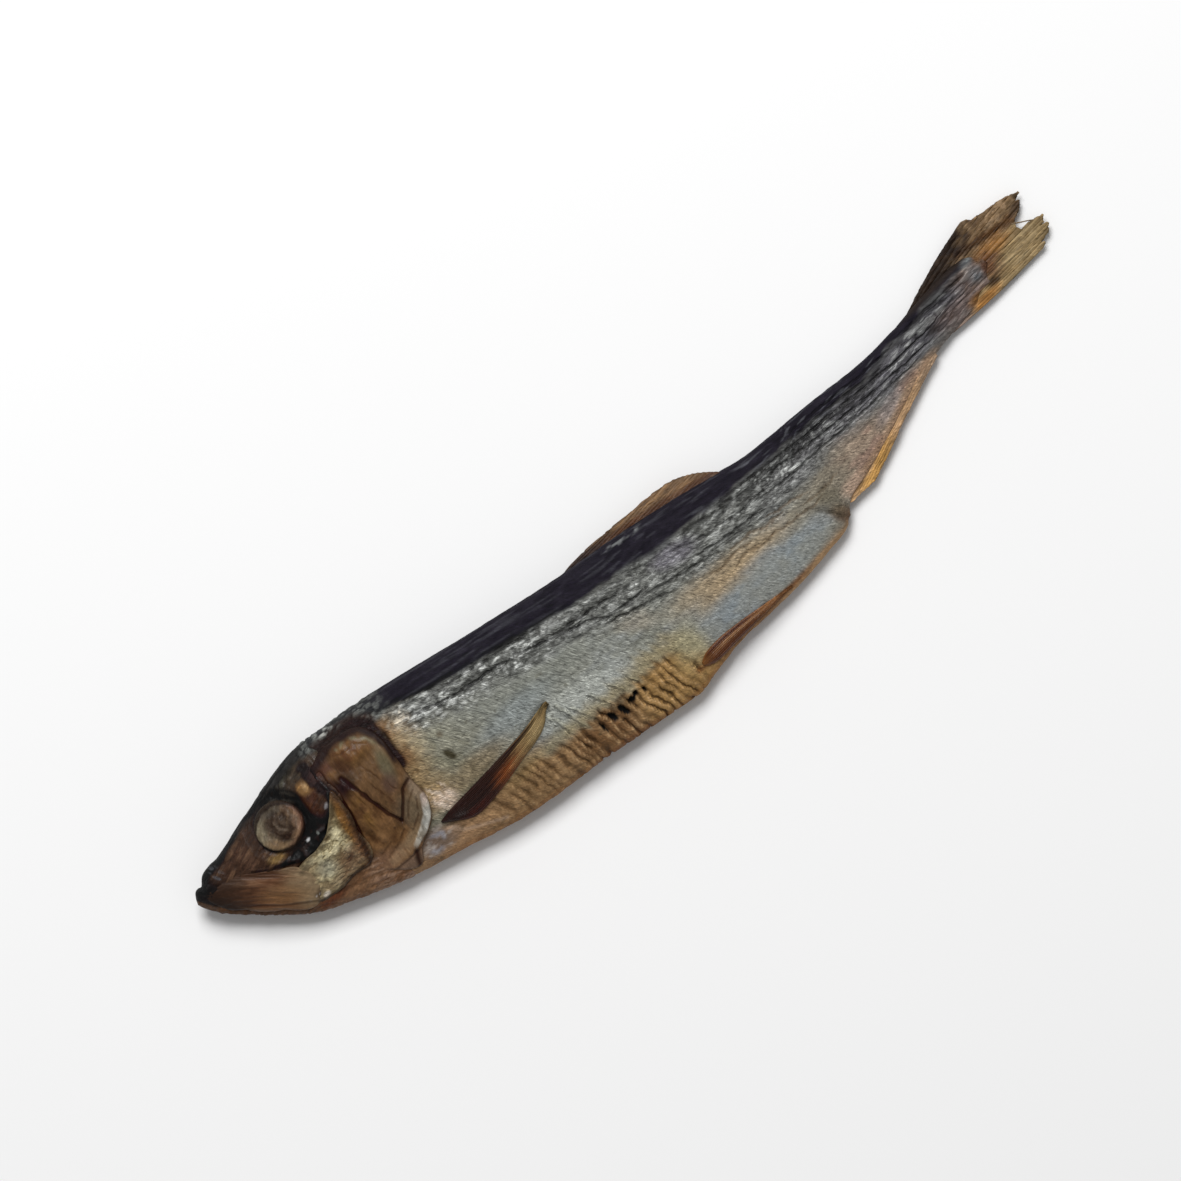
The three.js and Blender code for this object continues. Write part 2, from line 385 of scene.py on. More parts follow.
def maths(tree, operation, *values):
    """What a Math node makes of outputs and constants."""
    node = tree.nodes.new("ShaderNodeMath")
    node.operation = operation
    for socket, value in zip(node.inputs, values):
        join(tree, socket, value)
    return node.outputs[0]


def noise(tree, place, **values):
    return fitted(tree, tree.nodes.new("ShaderNodeTexNoise"), Vector=place, **values).outputs["Fac"]


def soft_step(tree, value, start, end):
    """0 up to start, 1 from end on, and a gentle step between, as a node."""
    node = tree.nodes.new("ShaderNodeMapRange")
    node.interpolation_type = "SMOOTHSTEP"
    return fitted(tree, node, Value=value, From_Min=start, From_Max=end).outputs["Result"]


def lit(tree, tint, factor):
    """A tint made paler or darker."""
    node = tree.nodes.new("ShaderNodeVectorMath")
    node.operation = "SCALE"
    join(tree, node.inputs[0], tint)
    return fitted(tree, node, Scale=factor).outputs[0]


def dry_grain_group():
    """The fine grain of dried skin: mottled colour, uneven gloss and a pitted surface, at a given size."""
    inputs = {"Tint": "Color", "Gloss": "Float", "Grains per metre": "Float", "Mottle": "Float"}
    outputs = {"Color": "Color", "Roughness": "Float", "Height": "Float"}
    group, given, result = node_group("dry_grain", inputs, outputs)
    where = group.nodes.new("ShaderNodeTexCoord").outputs["Object"]
    coarse = noise(group, where, Scale=given["Grains per metre"], Detail=4, Roughness=0.6)
    finer = maths(group, "MULTIPLY", given["Grains per metre"], 3.1)
    fine = noise(group, where, Scale=finer, Detail=2)
    centred = maths(group, "SUBTRACT", coarse, 0.5)
    mottled = maths(group, "MULTIPLY_ADD", centred, given["Mottle"], 1)
    dull = maths(group, "MULTIPLY_ADD", given["Gloss"], -0.6, 0.72)
    join(group, result["Color"], lit(group, given["Tint"], mottled))
    join(group, result["Roughness"], maths(group, "MULTIPLY_ADD", fine, 0.25, dull))
    join(group, result["Height"], maths(group, "MULTIPLY_ADD", fine, 0.45, coarse))
    return group


def fine_wrinkles_group():
    """Fine wrinkles that run one way, with painted shade in the creases and painted highlights on the ridges,
    and level skin between.
    """
    inputs = {"Tint": "Color", "Place": "Vector", "Strength": "Float", "Size": "Vector", "Turn": "Vector"}
    inputs["Contrast"] = "Float"
    group, given, result = node_group("fine_wrinkles", inputs, {"Color": "Color", "Height": "Float"})
    laid = group.nodes.new("ShaderNodeMapping")
    laid.vector_type = "TEXTURE"
    fitted(group, laid, Vector=given["Place"], Rotation=given["Turn"], Scale=given["Size"])
    waves = noise(group, laid.outputs["Vector"], Scale=1, Detail=2.4, Roughness=0.6, Distortion=0.6)
    ridge = soft_step(group, waves, 0.53, 0.66)
    groove = soft_step(group, waves, 0.47, 0.34)
    uneven = maths(group, "MULTIPLY_ADD", groove, -0.7, ridge)
    amount = maths(group, "MULTIPLY", given["Strength"], given["Contrast"])
    # The tint is painted darker in the creases as shade and paler on the ridges as highlights.
    painted_shading = maths(group, "MULTIPLY_ADD", uneven, amount, 1)
    join(group, result["Height"], maths(group, "MULTIPLY", uneven, given["Strength"]))
    join(group, result["Color"], lit(group, given["Tint"], painted_shading))
    return group


def fine_lines_group():
    """Fine creases where the offset, in millimetres, passes through 0: dark and ragged with painted shade,
    and one pale lip of painted highlight.
    """
    inputs = {"Tint": "Color", "Place": "Vector", "Strength": "Float", "Offset": "Float"}
    group, given, result = node_group("fine_lines", inputs, {"Color": "Color", "Height": "Float"})
    waver = noise(group, given["Place"], Scale=900, Detail=1)
    wavering = maths(group, "MULTIPLY_ADD", waver, 0.8, given["Offset"])
    off = maths(group, "SUBTRACT", wavering, 0.4)
    # Painted shade along the crease, and a painted highlight on its lip.
    dark = soft_step(group, maths(group, "ABSOLUTE", off), 0.4, 0.12)
    lit_lip = soft_step(group, off, -0.25, -0.5)
    contrast = maths(group, "MULTIPLY_ADD", dark, -1.9, lit_lip)
    height = maths(group, "MULTIPLY", contrast, given["Strength"])
    join(group, result["Height"], height)
    join(group, result["Color"], lit(group, given["Tint"], maths(group, "MULTIPLY_ADD", height, 0.45, 1)))
    return group


DRY_GRAIN = dry_grain_group()
FINE_WRINKLES = fine_wrinkles_group()
FINE_LINES = fine_lines_group()
# How strongly the wrinkles and the hatching paint shade in their creases and highlights on their ridges.
WRINKLE_CONTRAST, HATCH_CONTRAST = 1.1, 0.75
SPECULAR = 0.14
COAT_ROUGHNESS = 0.16
GLASSY_FROM, GLASSY_COAT = 0.55, 0.5  # the gloss from which a coat shows, and how strong it gets
PITTED, PIT_DEPTH = 0.7, 0.00022


def dried(name, grains, mottle, along, across=(0.003, 0.0004, -48)):
    """A dried surface: the colour, gloss, silver, wrinkles and hatching kept on the mesh, under fine grain.
    The wrinkles and the hatching are given by length and width in metres and by their slope in degrees."""
    material = bpy.data.materials.new(name)
    material.use_nodes = True
    tree = material.node_tree
    kept = {}
    for word in ("tint", "gloss", "silver", "wrinkle", "hatch", "line", "offset", "laid"):
        node = tree.nodes.new("ShaderNodeAttribute")
        node.attribute_name = word
        kept[word] = node.outputs[{"tint": "Color", "laid": "Vector"}.get(word, "Fac")]

    def effect(group, **values):
        node = tree.nodes.new("ShaderNodeGroup")
        node.node_tree = group
        return fitted(tree, node, **values).outputs

    tint = kept["tint"]
    heights = []
    patterns = (("wrinkle", along, WRINKLE_CONTRAST), ("hatch", across, HATCH_CONTRAST))
    for word, (length, width, slope), contrast in patterns:
        wrinkled = effect(
            FINE_WRINKLES,
            Tint=tint,
            Place=kept["laid"],
            Size=(length, width, width),
            Turn=(0, 0, math.radians(slope)),
            Strength=kept[word],
            Contrast=contrast,
        )
        tint = wrinkled["Color"]
        heights.append(wrinkled["Height"])
    lined = effect(FINE_LINES, Tint=tint, Place=kept["laid"], Strength=kept["line"], Offset=kept["offset"])
    grainy = effect(
        DRY_GRAIN, Tint=lined["Color"], Gloss=kept["gloss"], Grains_per_metre=grains, Mottle=mottle
    )
    coat = tree.nodes.new("ShaderNodeMapRange")
    fitted(tree, coat, Value=kept["gloss"], From_Min=GLASSY_FROM, To_Max=GLASSY_COAT)
    hatched = maths(tree, "MULTIPLY_ADD", heights[1], 0.35, heights[0])
    grained = maths(tree, "MULTIPLY_ADD", grainy["Height"], 0.3, hatched)
    creased = maths(tree, "MULTIPLY_ADD", lined["Height"], 0.8, grained)
    pitted = tree.nodes.new("ShaderNodeBump")
    fitted(tree, pitted, Strength=PITTED, Distance=PIT_DEPTH, Height=creased)
    fitted(
        tree,
        tree.nodes["Principled BSDF"],
        Base_Color=grainy["Color"],
        Roughness=grainy["Roughness"],
        Metallic=kept["silver"],
        Specular_IOR_Level=SPECULAR,
        Coat_Weight=coat.outputs["Result"],
        Coat_Roughness=COAT_ROUGHNESS,
        Normal=pitted.outputs["Normal"],
    )
    return material


MATTE_BLACK = (37, 35, 41)
SILVER_GREY = (146, 147, 138)
FOLD_GREY = (122, 123, 119)
# Painted shade in the creases of the folds.
FOLD_SHADE = (34, 33, 32)
OCHRE = (140, 109, 74)
# Painted shade in the gaps between the ribs.
OCHRE_SHADE = (72, 47, 28)
BLUE_GREY = (156, 160, 158)
TAN = (178, 156, 125)
# Painted shade inside the holes in the belly.
HOLE_SHADE = (16, 11, 9)

# How light the folded skin is along the body, as (x, share).
FOLD_LIGHT = (
    (36, 1), (58, 0.9), (66, 0.72), (76, 0.68), (92, 0.54), (106, 0.66), (118, 0.86), (130, 0.76),
    (150, 0.74), (170, 0.66), (192, 0.64), (207, 0.68), (FLESH, 0.66),
)
# Where the painted highlights on the folds are strongest, by their middles.
FOLD_HIGHLIGHTS = ((118, -6.4), (143, -9.4), (161, -9))
# Long creases that the folds of the flank end in, and the fan of fine creases above the ribs.
LONG_CREASES = (
    ((60, 4.2), (64, 2), (69, 0.4), (76, -0.8), (84, -1.4), (90, -3.2)),
    ((86, -1.8), (94, -3.4), (101, -5.4), (106, -6.6), (110, -8.8), (118, -9.2), (125, -9)),
    ((70, 3.2), (79, 2), (86, 0.6), (92, 0.2), (99, -1.2)),
    ((96, -4), (104, -4.8), (112, -5.6), (119, -7.6)),
    ((108, -9.6), (115, -11), (121, -12.6), (127, -14.2)),
    ((118, -10.2), (126, -11.4), (133, -12.6), (140, -13.8)),
    ((128, -6.2), (137, -8.6), (146, -9.4), (158, -9.2)),
    ((133, -11), (144, -11.8), (153, -12.6)),
)
TAIL_CREASES = (
    ((136, -4.6), (150, -5), (165, -5.6), (180, -5.9), (194, -6), (206, -4.8), (216, -3)),
    ((150, -7.6), (162, -7.4), (174, -7.9), (186, -8.2), (198, -7.6), (208, -7)),
    ((152, -10.4), (166, -10.2), (180, -10), (192, -9.2), (202, -8.6)),
    ((196, -2.2), (205, -1.6), (214, -1), (221, -0.6)),
    ((158, -2.4), (172, -3), (186, -3.2), (200, -2.4)),
    ((160, -4), (174, -4.4), (190, -4.5)),
)
BROWN_CREASES = (
    ((146, -17.4), (153, -18.4), (160, -18.8), (165, -18.6)),
    ((132, -15.4), (137, -16.2), (141, -15.4), (146, -16.6)),
    ((138, -18.2), (143, -17.4), (148, -18.4), (152, -17.2)),
    ((139, -14.2), (145, -14.6), (151, -15.8), (156, -15.6)),
    ((150, -14.2), (157, -14.8), (163, -15.8)),
    ((158, -17), (164, -17.4), (170, -16.6)),
)
FAN_CREASES = (
    ((84.5, -15.4), (86.5, -19.5), (87.6, -23.5)),
    ((88.5, -16.5), (89.6, -21), (91, -24)),
    ((90.5, -19), (92.4, -22), (94.2, -25)),
    ((95.5, -19.4), (97, -22), (98.6, -24.4)),
    ((100.5, -20.6), (102.4, -23.4)),
    ((104.5, -21), (106, -24.4)),
)
# The folds and wrinkles of the flank run along this line and those beside it.
FOLDS_RUN = (
    (36, 8.6), (60, 6.4), (75, 4), (90, 1.2), (110, -3.4), (125, -5.6), (150, -7), (180, -7.4), (205, -5.6),
    (FLESH, -3.6),
)
# How far along the wrinkles each station counts: they are short in front and long towards the tail.
WRINKLES_COUNT = ((36, 0), (90, 90), (125, 148), (160, 196), (FLESH, 256))
GILL_SLIT = ((40, 8.8), (44, 9.4), (48, 9.4), (52, 8.9), (54.9, 6.8), (55.3, 2.6), (55.1, -2), (54.8, -4.4))
RUSTY_EDGE = ((118, -31), (126, -30.6), (136, -30.1), (146, -29.4), (155, -28.6))
VENT_CREASE = ((160.4, -20), (162.6, -22.4), (164.4, -24.8))
CHEST_RIDGE = ((53.4, -21.8), (56, -24.4), (60, -26.4), (65, -28.8))
# Where the belly wall has cracked open between two ribs: middle, half size, lean in degrees.
BELLY_HOLES = (
    ((93.9, -27.2), (0.35, 1.5), 12),
    ((97, -26.6), (0.75, 1.3), 24),
    ((99.8, -27), (0.7, 1.6), 18),
    ((102.6, -26.4), (0.85, 0.75), 30),
    ((104.1, -25.8), (0.55, 0.6), 0),
    ((106.2, -26.4), (0.3, 0.8), 10),
)
# Gleams of silver on the chest: middle, half size.
CHEST_GLEAMS = (((48.6, -24.3), (1.5, 0.5)), ((50.6, -21.6), (1.7, 0.5)), ((51.6, -22.6), (0.5, 0.9)))
# Where the fins and the gill cover press on the flank: a line, and how far it reaches to each side.
PRESSED = (
    (((55, -21), (66, -20.6), (78, -18.4), (86, -15.6)), 1.6),
    (((121, -30.2), (130, -29.8), (139, -29.4)), 0.8),
    (((46, 5), (48, -4), (47, -14)), 6.5),
)


def nape_flecks(look, x, y, z, mask):
    """Pale flecks on the dark skin where the head meets the back, and a painted glint among them."""
    pale = smooth(folds(x / 1.5, y / 1.1, z, seed=48), 0.5, 1.0)
    look.wash(mask * 0.8, (46, 47, 47), gloss=0.5, wrinkle=0.7)
    look.wash(mask * pale * 0.45, (120, 122, 118), gloss=0.65)
    # A painted glint on the flecks.
    look.wash(patch(x, y, (46.5, 11), (2.6, 0.9), -20, 0.6) * pale * 0.8, (186, 188, 182), gloss=0.75)
    look.relief += mask * 0.2 * (pale - 0.3)


def silver_flank(look, x, y, z, wander, below_folds, in_ochre):
    """The silver flank, browner towards the gills, and its creases, with painted shade in the creases of its
    net of folds and painted highlights on their ridges. Gives where the belly is smooth.
    """
    look.wash(smooth(x, 84, 60) * 0.7, (134, 128, 104))
    along, across = x * 0.62 - y * 0.78, x * 0.78 + y * 0.62
    slanting = grain(along / 2.6, across / 0.9, z / 3, seed=8)
    netted = folds(along / 4.2, across / 1.5, z / 3, seed=9)
    look.relief += (0.02 * slanting + 0.04 * netted) * (1 - in_ochre)
    look.shade(1 + 0.05 * slanting + 0.14 * cloudy(x / 6, y / 4, z / 5, seed=12))
    # Painted shade in the creases of the net, and painted highlights on its ridges.
    look.wash((1 - smooth(netted, 0, 0.24)) * 0.18, (104, 102, 88))
    look.wash(smooth(netted, 0.7, 1) * 0.1, (184, 186, 180), gloss=0.7)
    bluish = smooth(cloudy(x / 8, y / 5, z / 6, seed=14), 0.0, 0.5) * (1 - in_ochre) * smooth(x, 66, 74)
    look.wash(bluish * 0.45, (146, 151, 154))
    look.wash(patch(x, y, (86, -7.4), (20, 4.4), -8, 0.5) * 0.7, (122, 124, 117))
    look.wash(patch(x, y, (80, -12.4), (10, 3.0), 4, 0.6) * 0.55, (146, 154, 156))
    look.wash(patch(x, y, (96, -18.8), (12, 3.6), -6, 0.6) * 0.8, (188, 191, 184))
    look.wash(patch(x, y, (66, -15.8), (9, 2.6), 3, 0.6) * 0.7, (146, 128, 100))
    look.wash(patch(x, y, (114, -13), (5, 2.4), -30, 0.6) * 0.4, (150, 134, 112))
    for middle, size, lean in (((139, -17.6), (15, 3.6), -3), ((137, -20.6), (9, 2.6), 4)):
        tanned = patch(x + wander, y + wander, middle, size, lean, 0.6)
        look.wash(tanned * 0.8, TAN, gloss=0.5, silver=0.15)
    smooth_belly = patch(x + 2.2 * wander, y + 0.6 * wander, (143, -24.6), (20, 4.4), 5, 0.5)
    look.wash(smooth_belly * 0.85, BLUE_GREY, gloss=0.5, silver=0.25, hatch=0.6)
    blotched = cloudy(x / 5, y / 3.2, z / 5, seed=15)
    look.wash(smooth_belly * smooth(blotched, -0.1, 0.4) * 0.5, (140, 151, 160))
    look.wash(smooth_belly * smooth(-blotched, 0.1, 0.5) * 0.35, (136, 134, 122))
    dull_skin = smooth(x, 150, 164) * below_folds * (1 - smooth_belly)
    look.wash(dull_skin * 0.75, (142, 131, 114), silver=0.15)
    rosy = smooth(x, 166, 178) * (1 - smooth(x, 198, 210)) * below_folds
    look.wash(rosy * 0.85, (166, 146, 128), silver=0.1)
    blush = smooth(cloudy(x / 5, y / 2.5, z / 4, seed=16), 0, 0.5)
    look.wash(rosy * blush * 0.5, (158, 124, 112))
    look.wash(patch(x, y, (187.5, -12.6), (4.5, 1.5), 22, 0.6) * 0.6, (176, 164, 162), gloss=0.65)
    return smooth_belly


def folded_band(look, x, y, z, folded, beneath, matte_end, rear):
    """The band of shrunken folds below the back, and the faint folds beneath it, with painted shade in their
    creases and painted highlights on the ridges of the band.
    """
    tailward = smooth(x, 150, 185)
    stretch = 3.4 + 5.5 * tailward
    tilted = y - through(FOLDS_RUN, x)
    bumps = folds(x / stretch, tilted / (1.25 + 0.1 * tailward), z / 3, seed=20)
    small = folds(x / 1.9, tilted / 0.75, z / 2, seed=24)
    highlight_strength = 0.4 + 0.6 * (1 - smooth(x, 84, 104))
    for middle in FOLD_HIGHLIGHTS:
        highlight_strength = np.maximum(highlight_strength, patch(x, y, middle, (5, 1.7), -4, 0.6))
    look.wash(folded, FOLD_GREY, gloss=0.6, silver=0.25, hatch=0.75 - 0.5 * tailward)
    look.wash(folded, wrinkle=0.74 + 0.16 * tailward - 0.36 * smooth(x, 184, 198))
    look.wash(folded * smooth(x, 140, 190) * 0.9, (121, 119, 125))
    look.shade(1 + folded * (through(FOLD_LIGHT, x) - 1))
    look.shade(1 - 0.58 * folded * rear * (1 - smooth(matte_end - y, 0.5, 4.4)))
    look.shade(1 - 0.42 * folded * patch(x, y, (158, -5.9), (20, 2.0), -2, 0.5))
    look.relief += folded * (0.34 * (bumps - 0.5) + 0.14 * (small - 0.5))
    look.relief += beneath * (0.1 * (bumps - 0.5) + 0.04 * (small - 0.5))
    # Painted shade in the creases of the folds, and painted highlights on their ridges.
    look.wash(folded * (1 - smooth(bumps, 0.02, 0.3)) * 0.62, FOLD_SHADE, silver=0.1)
    fold_highlight = smooth(bumps * (0.3 + 0.7 * small), 0.4, 0.85) * highlight_strength
    look.wash(folded * fold_highlight * 0.7, (190, 192, 188), gloss=0.75)
    # Painted shade in the creases of the faint folds.
    look.wash(beneath * (1 - smooth(bumps, 0.0, 0.2)) * 0.3, FOLD_SHADE)
    look.wash(folded * patch(x, y, (130, -7.4), (5.0, 2.2), -8, 0.6) * 0.6, (110, 106, 116), wrinkle=0.4)


def long_creases(look, x, y, z, rear):
    """The long creases that the folds end in, wavering and broken, darkened with painted shade, and the fan
    of fine creases with a painted highlight beside each.
    """
    mended = 0.3 * grain(x / 2.4, y / 2.4, z / 3, seed=31) + 0.14 * grain(x / 0.9, y, z, seed=32)
    broken = 0.7 + 0.3 * smooth(grain(x / 5, y / 2, z / 4, seed=33), -0.5, 0.2)
    for line in LONG_CREASES:
        look.crease(tapered(x, y + mended, line, 1.3) * broken, 0.26, FOLD_SHADE, 0.45 - 0.15 * rear)
        look.draw(beside(x, y + mended, line), smooth(waning(x, line), 0, 0.5) * broken * (0.9 - 0.35 * rear))
    for line in TAIL_CREASES:
        look.crease(tapered(x, y + 0.7 * mended, line, 1.1) * broken, 0.2, FOLD_SHADE, 0.3)
        look.draw(beside(x, y + 0.7 * mended, line), smooth(waning(x, line), 0, 0.5) * broken * 0.6)
    for line in BROWN_CREASES:
        look.crease(tapered(x, y + 2 * mended, line, 1.2), 0.14, (92, 74, 54), 0.55)
    for line in FAN_CREASES:
        # A painted highlight along one lip of each crease of the fan.
        look.wash(stroke(x + mended - 0.6, y, line, 1.4) * 0.35, (186, 186, 166))
        look.draw(beside(x + mended, y, line), smooth(stroke(x + mended, y, line, 3.4), 0, 0.6) * 0.55)


def matte_back(look, x, y, z, above, level, matte_end):
    """The blue black back, matte and streaked, with a bare nape."""
    look.wash(above, MATTE_BLACK, gloss=0.12, silver=0.0, wrinkle=0.4, hatch=0.3)
    look.relief += above * 0.08 * (folds(x / 7, level / 1.1, z / 1.1, seed=40) - 0.5)
    look.shade(1 + above * 0.3 * cloudy(x / 3, y, z, seed=43))
    streaks = smooth(grain(x / 13, level / 0.42, z / 0.5, seed=45), 0.25, 0.75)
    streaky = 0.25 + 0.6 * patch(x, y, (172, -3.6), (30, 1.8), 0, 0.6)
    look.wash(above * streaks * streaky, (84, 85, 90), gloss=0.4)
    matte_rim = above * (1 - smooth(y - matte_end, 0, 1.5)) * (1 - smooth(x, 96, 118))
    look.wash(matte_rim * 0.75, (16, 16, 18))
    nape = (1 - smooth(matte_end - 2.6 - y, -1, 1) * (1 - above)) * smooth(x, 63, 56)
    nape_flecks(look, x, y, z, nape)
    glints = smooth(grain(x / 1.2, y / 0.5, z / 2, seed=49), 0.0, 0.5)
    look.wash(patch(x, y, (124, 2.5), (4.5, 0.7), -4, 0.5) * glints * 0.6, (132, 134, 134), gloss=0.6)


def ochre_belly(look, x, y, z, wander, in_ochre, ochre_line):
    """The ochre belly: paler and pinker in front, with a dark red brown patch in the middle of its ribs,
    golden behind them.
    """
    look.wash(in_ochre * 0.94, OCHRE, gloss=0.5, silver=0.0, hatch=0.45, wrinkle=0.25)
    look.wash(in_ochre * (1 - smooth(x, 54, 74)) * 0.75, (156, 124, 94))
    look.wash(in_ochre * patch(x + wander, y, (94, -28), (8, 4), 0, 0.5) * 0.6, (100, 68, 44))
    look.wash(in_ochre * smooth(x, 100, 107) * (1 - smooth(x, 119, 126)) * 0.8, (172, 136, 86))
    khaki = smooth(ochre_line + 3.4 + 1.2 * smooth(x, 92, 104) - y + wander, -1, 3.4) * (1 - in_ochre)
    look.wash(khaki * smooth(x, 68, 80) * (1 - smooth(x, 120, 126)) * 0.72, (162, 146, 108), silver=0.05)
    look.wash(patch(x, y, (75.5, -22.4), (6, 2.0), 12, 0.6) * 0.7, (150, 124, 86), silver=0.05)
    look.wash(patch(x, y, (118, -26.4), (3.2, 4.4), -10, 0.7) * 0.5, (158, 144, 104), silver=0.05)
    pale_patch = patch(x + 1.6 * wander, y, (121.2, -24.6), (3.2, 4.6), -14, 0.7)
    look.wash(pale_patch * 0.75, (168, 161, 132), silver=0.1)
    rough = cloudy(x / 2.4, y / 1.6, z / 2, seed=56)
    look.relief += in_ochre * 0.14 * rough
    look.shade(1 + in_ochre * 0.42 * rough)
    return rough


def belly_ribs(look, x, y, z, side, in_ochre, rough):
    """The ribs across the belly: rounded ridges with painted highlights on their crests and painted shade in
    the gaps between them, each a little different.
    """
    ribbed = in_ochre * smooth(x, 58, 68) * (1 - smooth(x, 117, 122))
    uneven = 0.55 * grain(x / 3, y / 2.2, z / 6, seed=52) + 0.25 * grain(x / 1.2, y / 1.1, z / 3, seed=51)
    leaning = x + 0.26 * (y + 28) + uneven
    pace = leaning / 2.2 + 0.45 * grain(leaning / 5, side * 3.0, 0, seed=53)
    gap = 1 - np.abs(2 * (pace % 1) - 1)
    strong = smooth(grain(np.floor(pace) * 1.7, y / 3.0, side * 2.0, seed=54), -0.45, 0.5)
    deep = 0.7 + 0.3 * smooth(x, 80, 90) * (1 - 0.2 * smooth(x, 106, 112))
    strong = (0.32 + 0.68 * strong) * deep * ribbed
    look.draw((pace % 1 - 0.5) * 2.2, 0.62 * strong * (0.6 + 0.4 * smooth(x, 80, 88)))
    gap = smooth(gap, 0.5, 0.92) * strong
    # The gaps sink and are darkened with painted shade.
    look.relief -= 0.6 * gap
    look.wash(gap * 0.66, OCHRE_SHADE, gloss=0.4)
    # Painted highlights on the crests of the ribs.
    crest = smooth(np.abs(2 * ((pace + 0.36) % 1) - 1), 0.3, 0.0) * ribbed * deep
    look.wash(crest * (0.3 + 0.5 * smooth(rough, 0, 0.5)), (200, 166, 124), gloss=0.62)
    spotted = smooth(x, 84, 90) * (1 - smooth(x, 112, 118))
    spotted = spotted * smooth(grain(x / 0.9, side * 2.0, 0, seed=58), -0.1, 0.4)
    border = (1 - smooth(np.abs(through(OCHRE_EDGE, x) - y - 0.3), 0.2, 0.9)) * spotted
    look.crease(border, 0.15, (76, 52, 30), 0.6)


def keel_and_vent(look, x, y, z, keel, wander):
    """The keel, the vent and the skin above the anal fin."""
    keel_edge = smooth(keel + 1.2 + 0.5 * wander - y, -0.4, 0.9)
    keel_edge = keel_edge * smooth(x, 44, 56) * (1 - smooth(x, 164, 167))
    look.wash(keel_edge * 0.5, (150, 104, 62), gloss=0.5, hatch=0.25)
    look.wash(keel_edge * smooth(x, 136, 146) * 0.8, (178, 146, 110))
    rusty_edge = stroke(x, y + 0.3 * wander, RUSTY_EDGE, 2.2) * (1 - smooth(x, 146, 155))
    look.wash(rusty_edge * 0.75, (112, 72, 44), gloss=0.55)
    look.wash(keel_edge * patch(x, y, (98, -33), (10, 3), -4, 0.5) * 0.5, (96, 56, 34))
    vent = patch(x, y, (164.8, -24.4), (2.0, 3.2), 35)
    look.wash(vent * 0.88, (98, 78, 62), gloss=0.4, silver=0.0)
    look.relief += vent * 0.35 * cloudy(x / 1.4, y / 1.4, z / 2, seed=60)
    look.crease(stroke(x, y, VENT_CREASE, 1.6), 0.3, (50, 44, 36), 0.6)
    look.wash(patch(x, y, (164.4, -20.6), (2.6, 3.6), 24, 0.5) * 0.5, (106, 99, 82))
    above_anal = smooth(keel + 1.7 + 0.4 * wander - y, -0.8, 1.2)
    above_anal = above_anal * smooth(x, 167, 170) * (1 - smooth(x, 200, 206))
    look.wash(above_anal * 0.7, (168, 136, 108), gloss=0.5, silver=0.05)
    flushed = patch(x, y, (170.6, -20.9), (3.2, 1.6), 10, 0.6)
    look.wash(flushed * 0.8, (190, 164, 144), gloss=0.6, silver=0.05)


def shoulder_and_chest(look, x, y, z, wander, flecks):
    """The shoulder behind the gill cover with its painted highlights, the slit between them darkened with
    painted shade, and the chest below.
    """
    near_gill = smooth(x + 1.6 * wander, 63.5, 56)
    shoulder = near_gill * (1 - smooth(y + wander, 4.6, 7.4)) * (1 - smooth(-y, 15.5, 19.5))
    look.wash(shoulder * 0.9, (154, 129, 94), gloss=0.55, silver=0.05, wrinkle=0.4, hatch=0.6)
    rusty = near_gill * smooth(x, 59.8, 57.2) * smooth(grain(x, y / 4, z / 4, seed=63), -1.2, 0)
    look.wash(rusty * smooth(y, -9, -4) * (1 - smooth(y, 4.6, 6.6)) * 0.9, (108, 78, 50))
    pleats = folds((x + 0.12 * y) / 1.5, y / 5, z / 4, seed=64)
    look.relief += shoulder * 0.3 * (pleats - 0.5)
    look.wash(shoulder * (1 - smooth(pleats, 0, 0.35)) * 0.6, (80, 56, 32))
    # Painted highlights on the shoulder and at the root of the pectoral fin.
    look.wash(patch(x, y, (60, 3.6), (2.6, 1.8), -30, 0.6) * flecks * 0.85, (206, 196, 178), gloss=0.75)
    look.wash(shoulder * flecks * smooth(x, 57.5, 59) * 0.4, (184, 164, 130), gloss=0.65)
    look.wash(patch(x, y, (57.2, -16.8), (2.8, 2.2), -20) * (0.5 + 0.5 * flecks), (220, 196, 174), gloss=0.75)
    strands = smooth(grain((x + 0.5 * y) / 0.7, (y - 0.5 * x) / 2.4, z / 3, seed=68), 0.05, 0.45)
    look.wash(patch(x, y, (56.6, -15.6), (3.4, 3.2), -20, 0.6) * strands * 0.7, (232, 214, 196), gloss=0.8)
    # The slit is darkened with painted shade.
    slit = stroke(x + 0.4 * wander, y, GILL_SLIT, 5.8)
    look.wash(slit * 0.6, (80, 54, 40))
    look.crease(smooth(slit, 0.3, 0.8), 0.3, (36, 26, 25), 0.96)
    nape_skin = patch(x, y, (46, 9.3), (7, 1.6), -4, 0.4)
    look.wash(nape_skin * 0.85, (42, 34, 32), gloss=0.5)
    chest = patch(x, y, (49.4, -22.8), (5.4, 3.4), -24)
    dapple = smooth(cloudy(x / 1.5, y / 1.2, z / 2, seed=67), 0.0, 0.4)
    chest = chest * smooth(y, -26.4, -24.4)
    look.wash(chest * 0.85, (116, 101, 90), gloss=0.55, hatch=0.2)
    look.wash(chest * dapple * 0.75, (176, 166, 158), gloss=0.7)
    for middle, size in CHEST_GLEAMS:
        gleam = patch(x + 0.3 * wander, y + 0.4 * flecks, middle, size, -15, 0.6)
        look.wash(gleam * 0.55, (166, 168, 178), gloss=0.8)
    look.wash(stroke(x, y + wander * 0.4, CHEST_RIDGE, 1.4) * 0.6, (192, 164, 140))


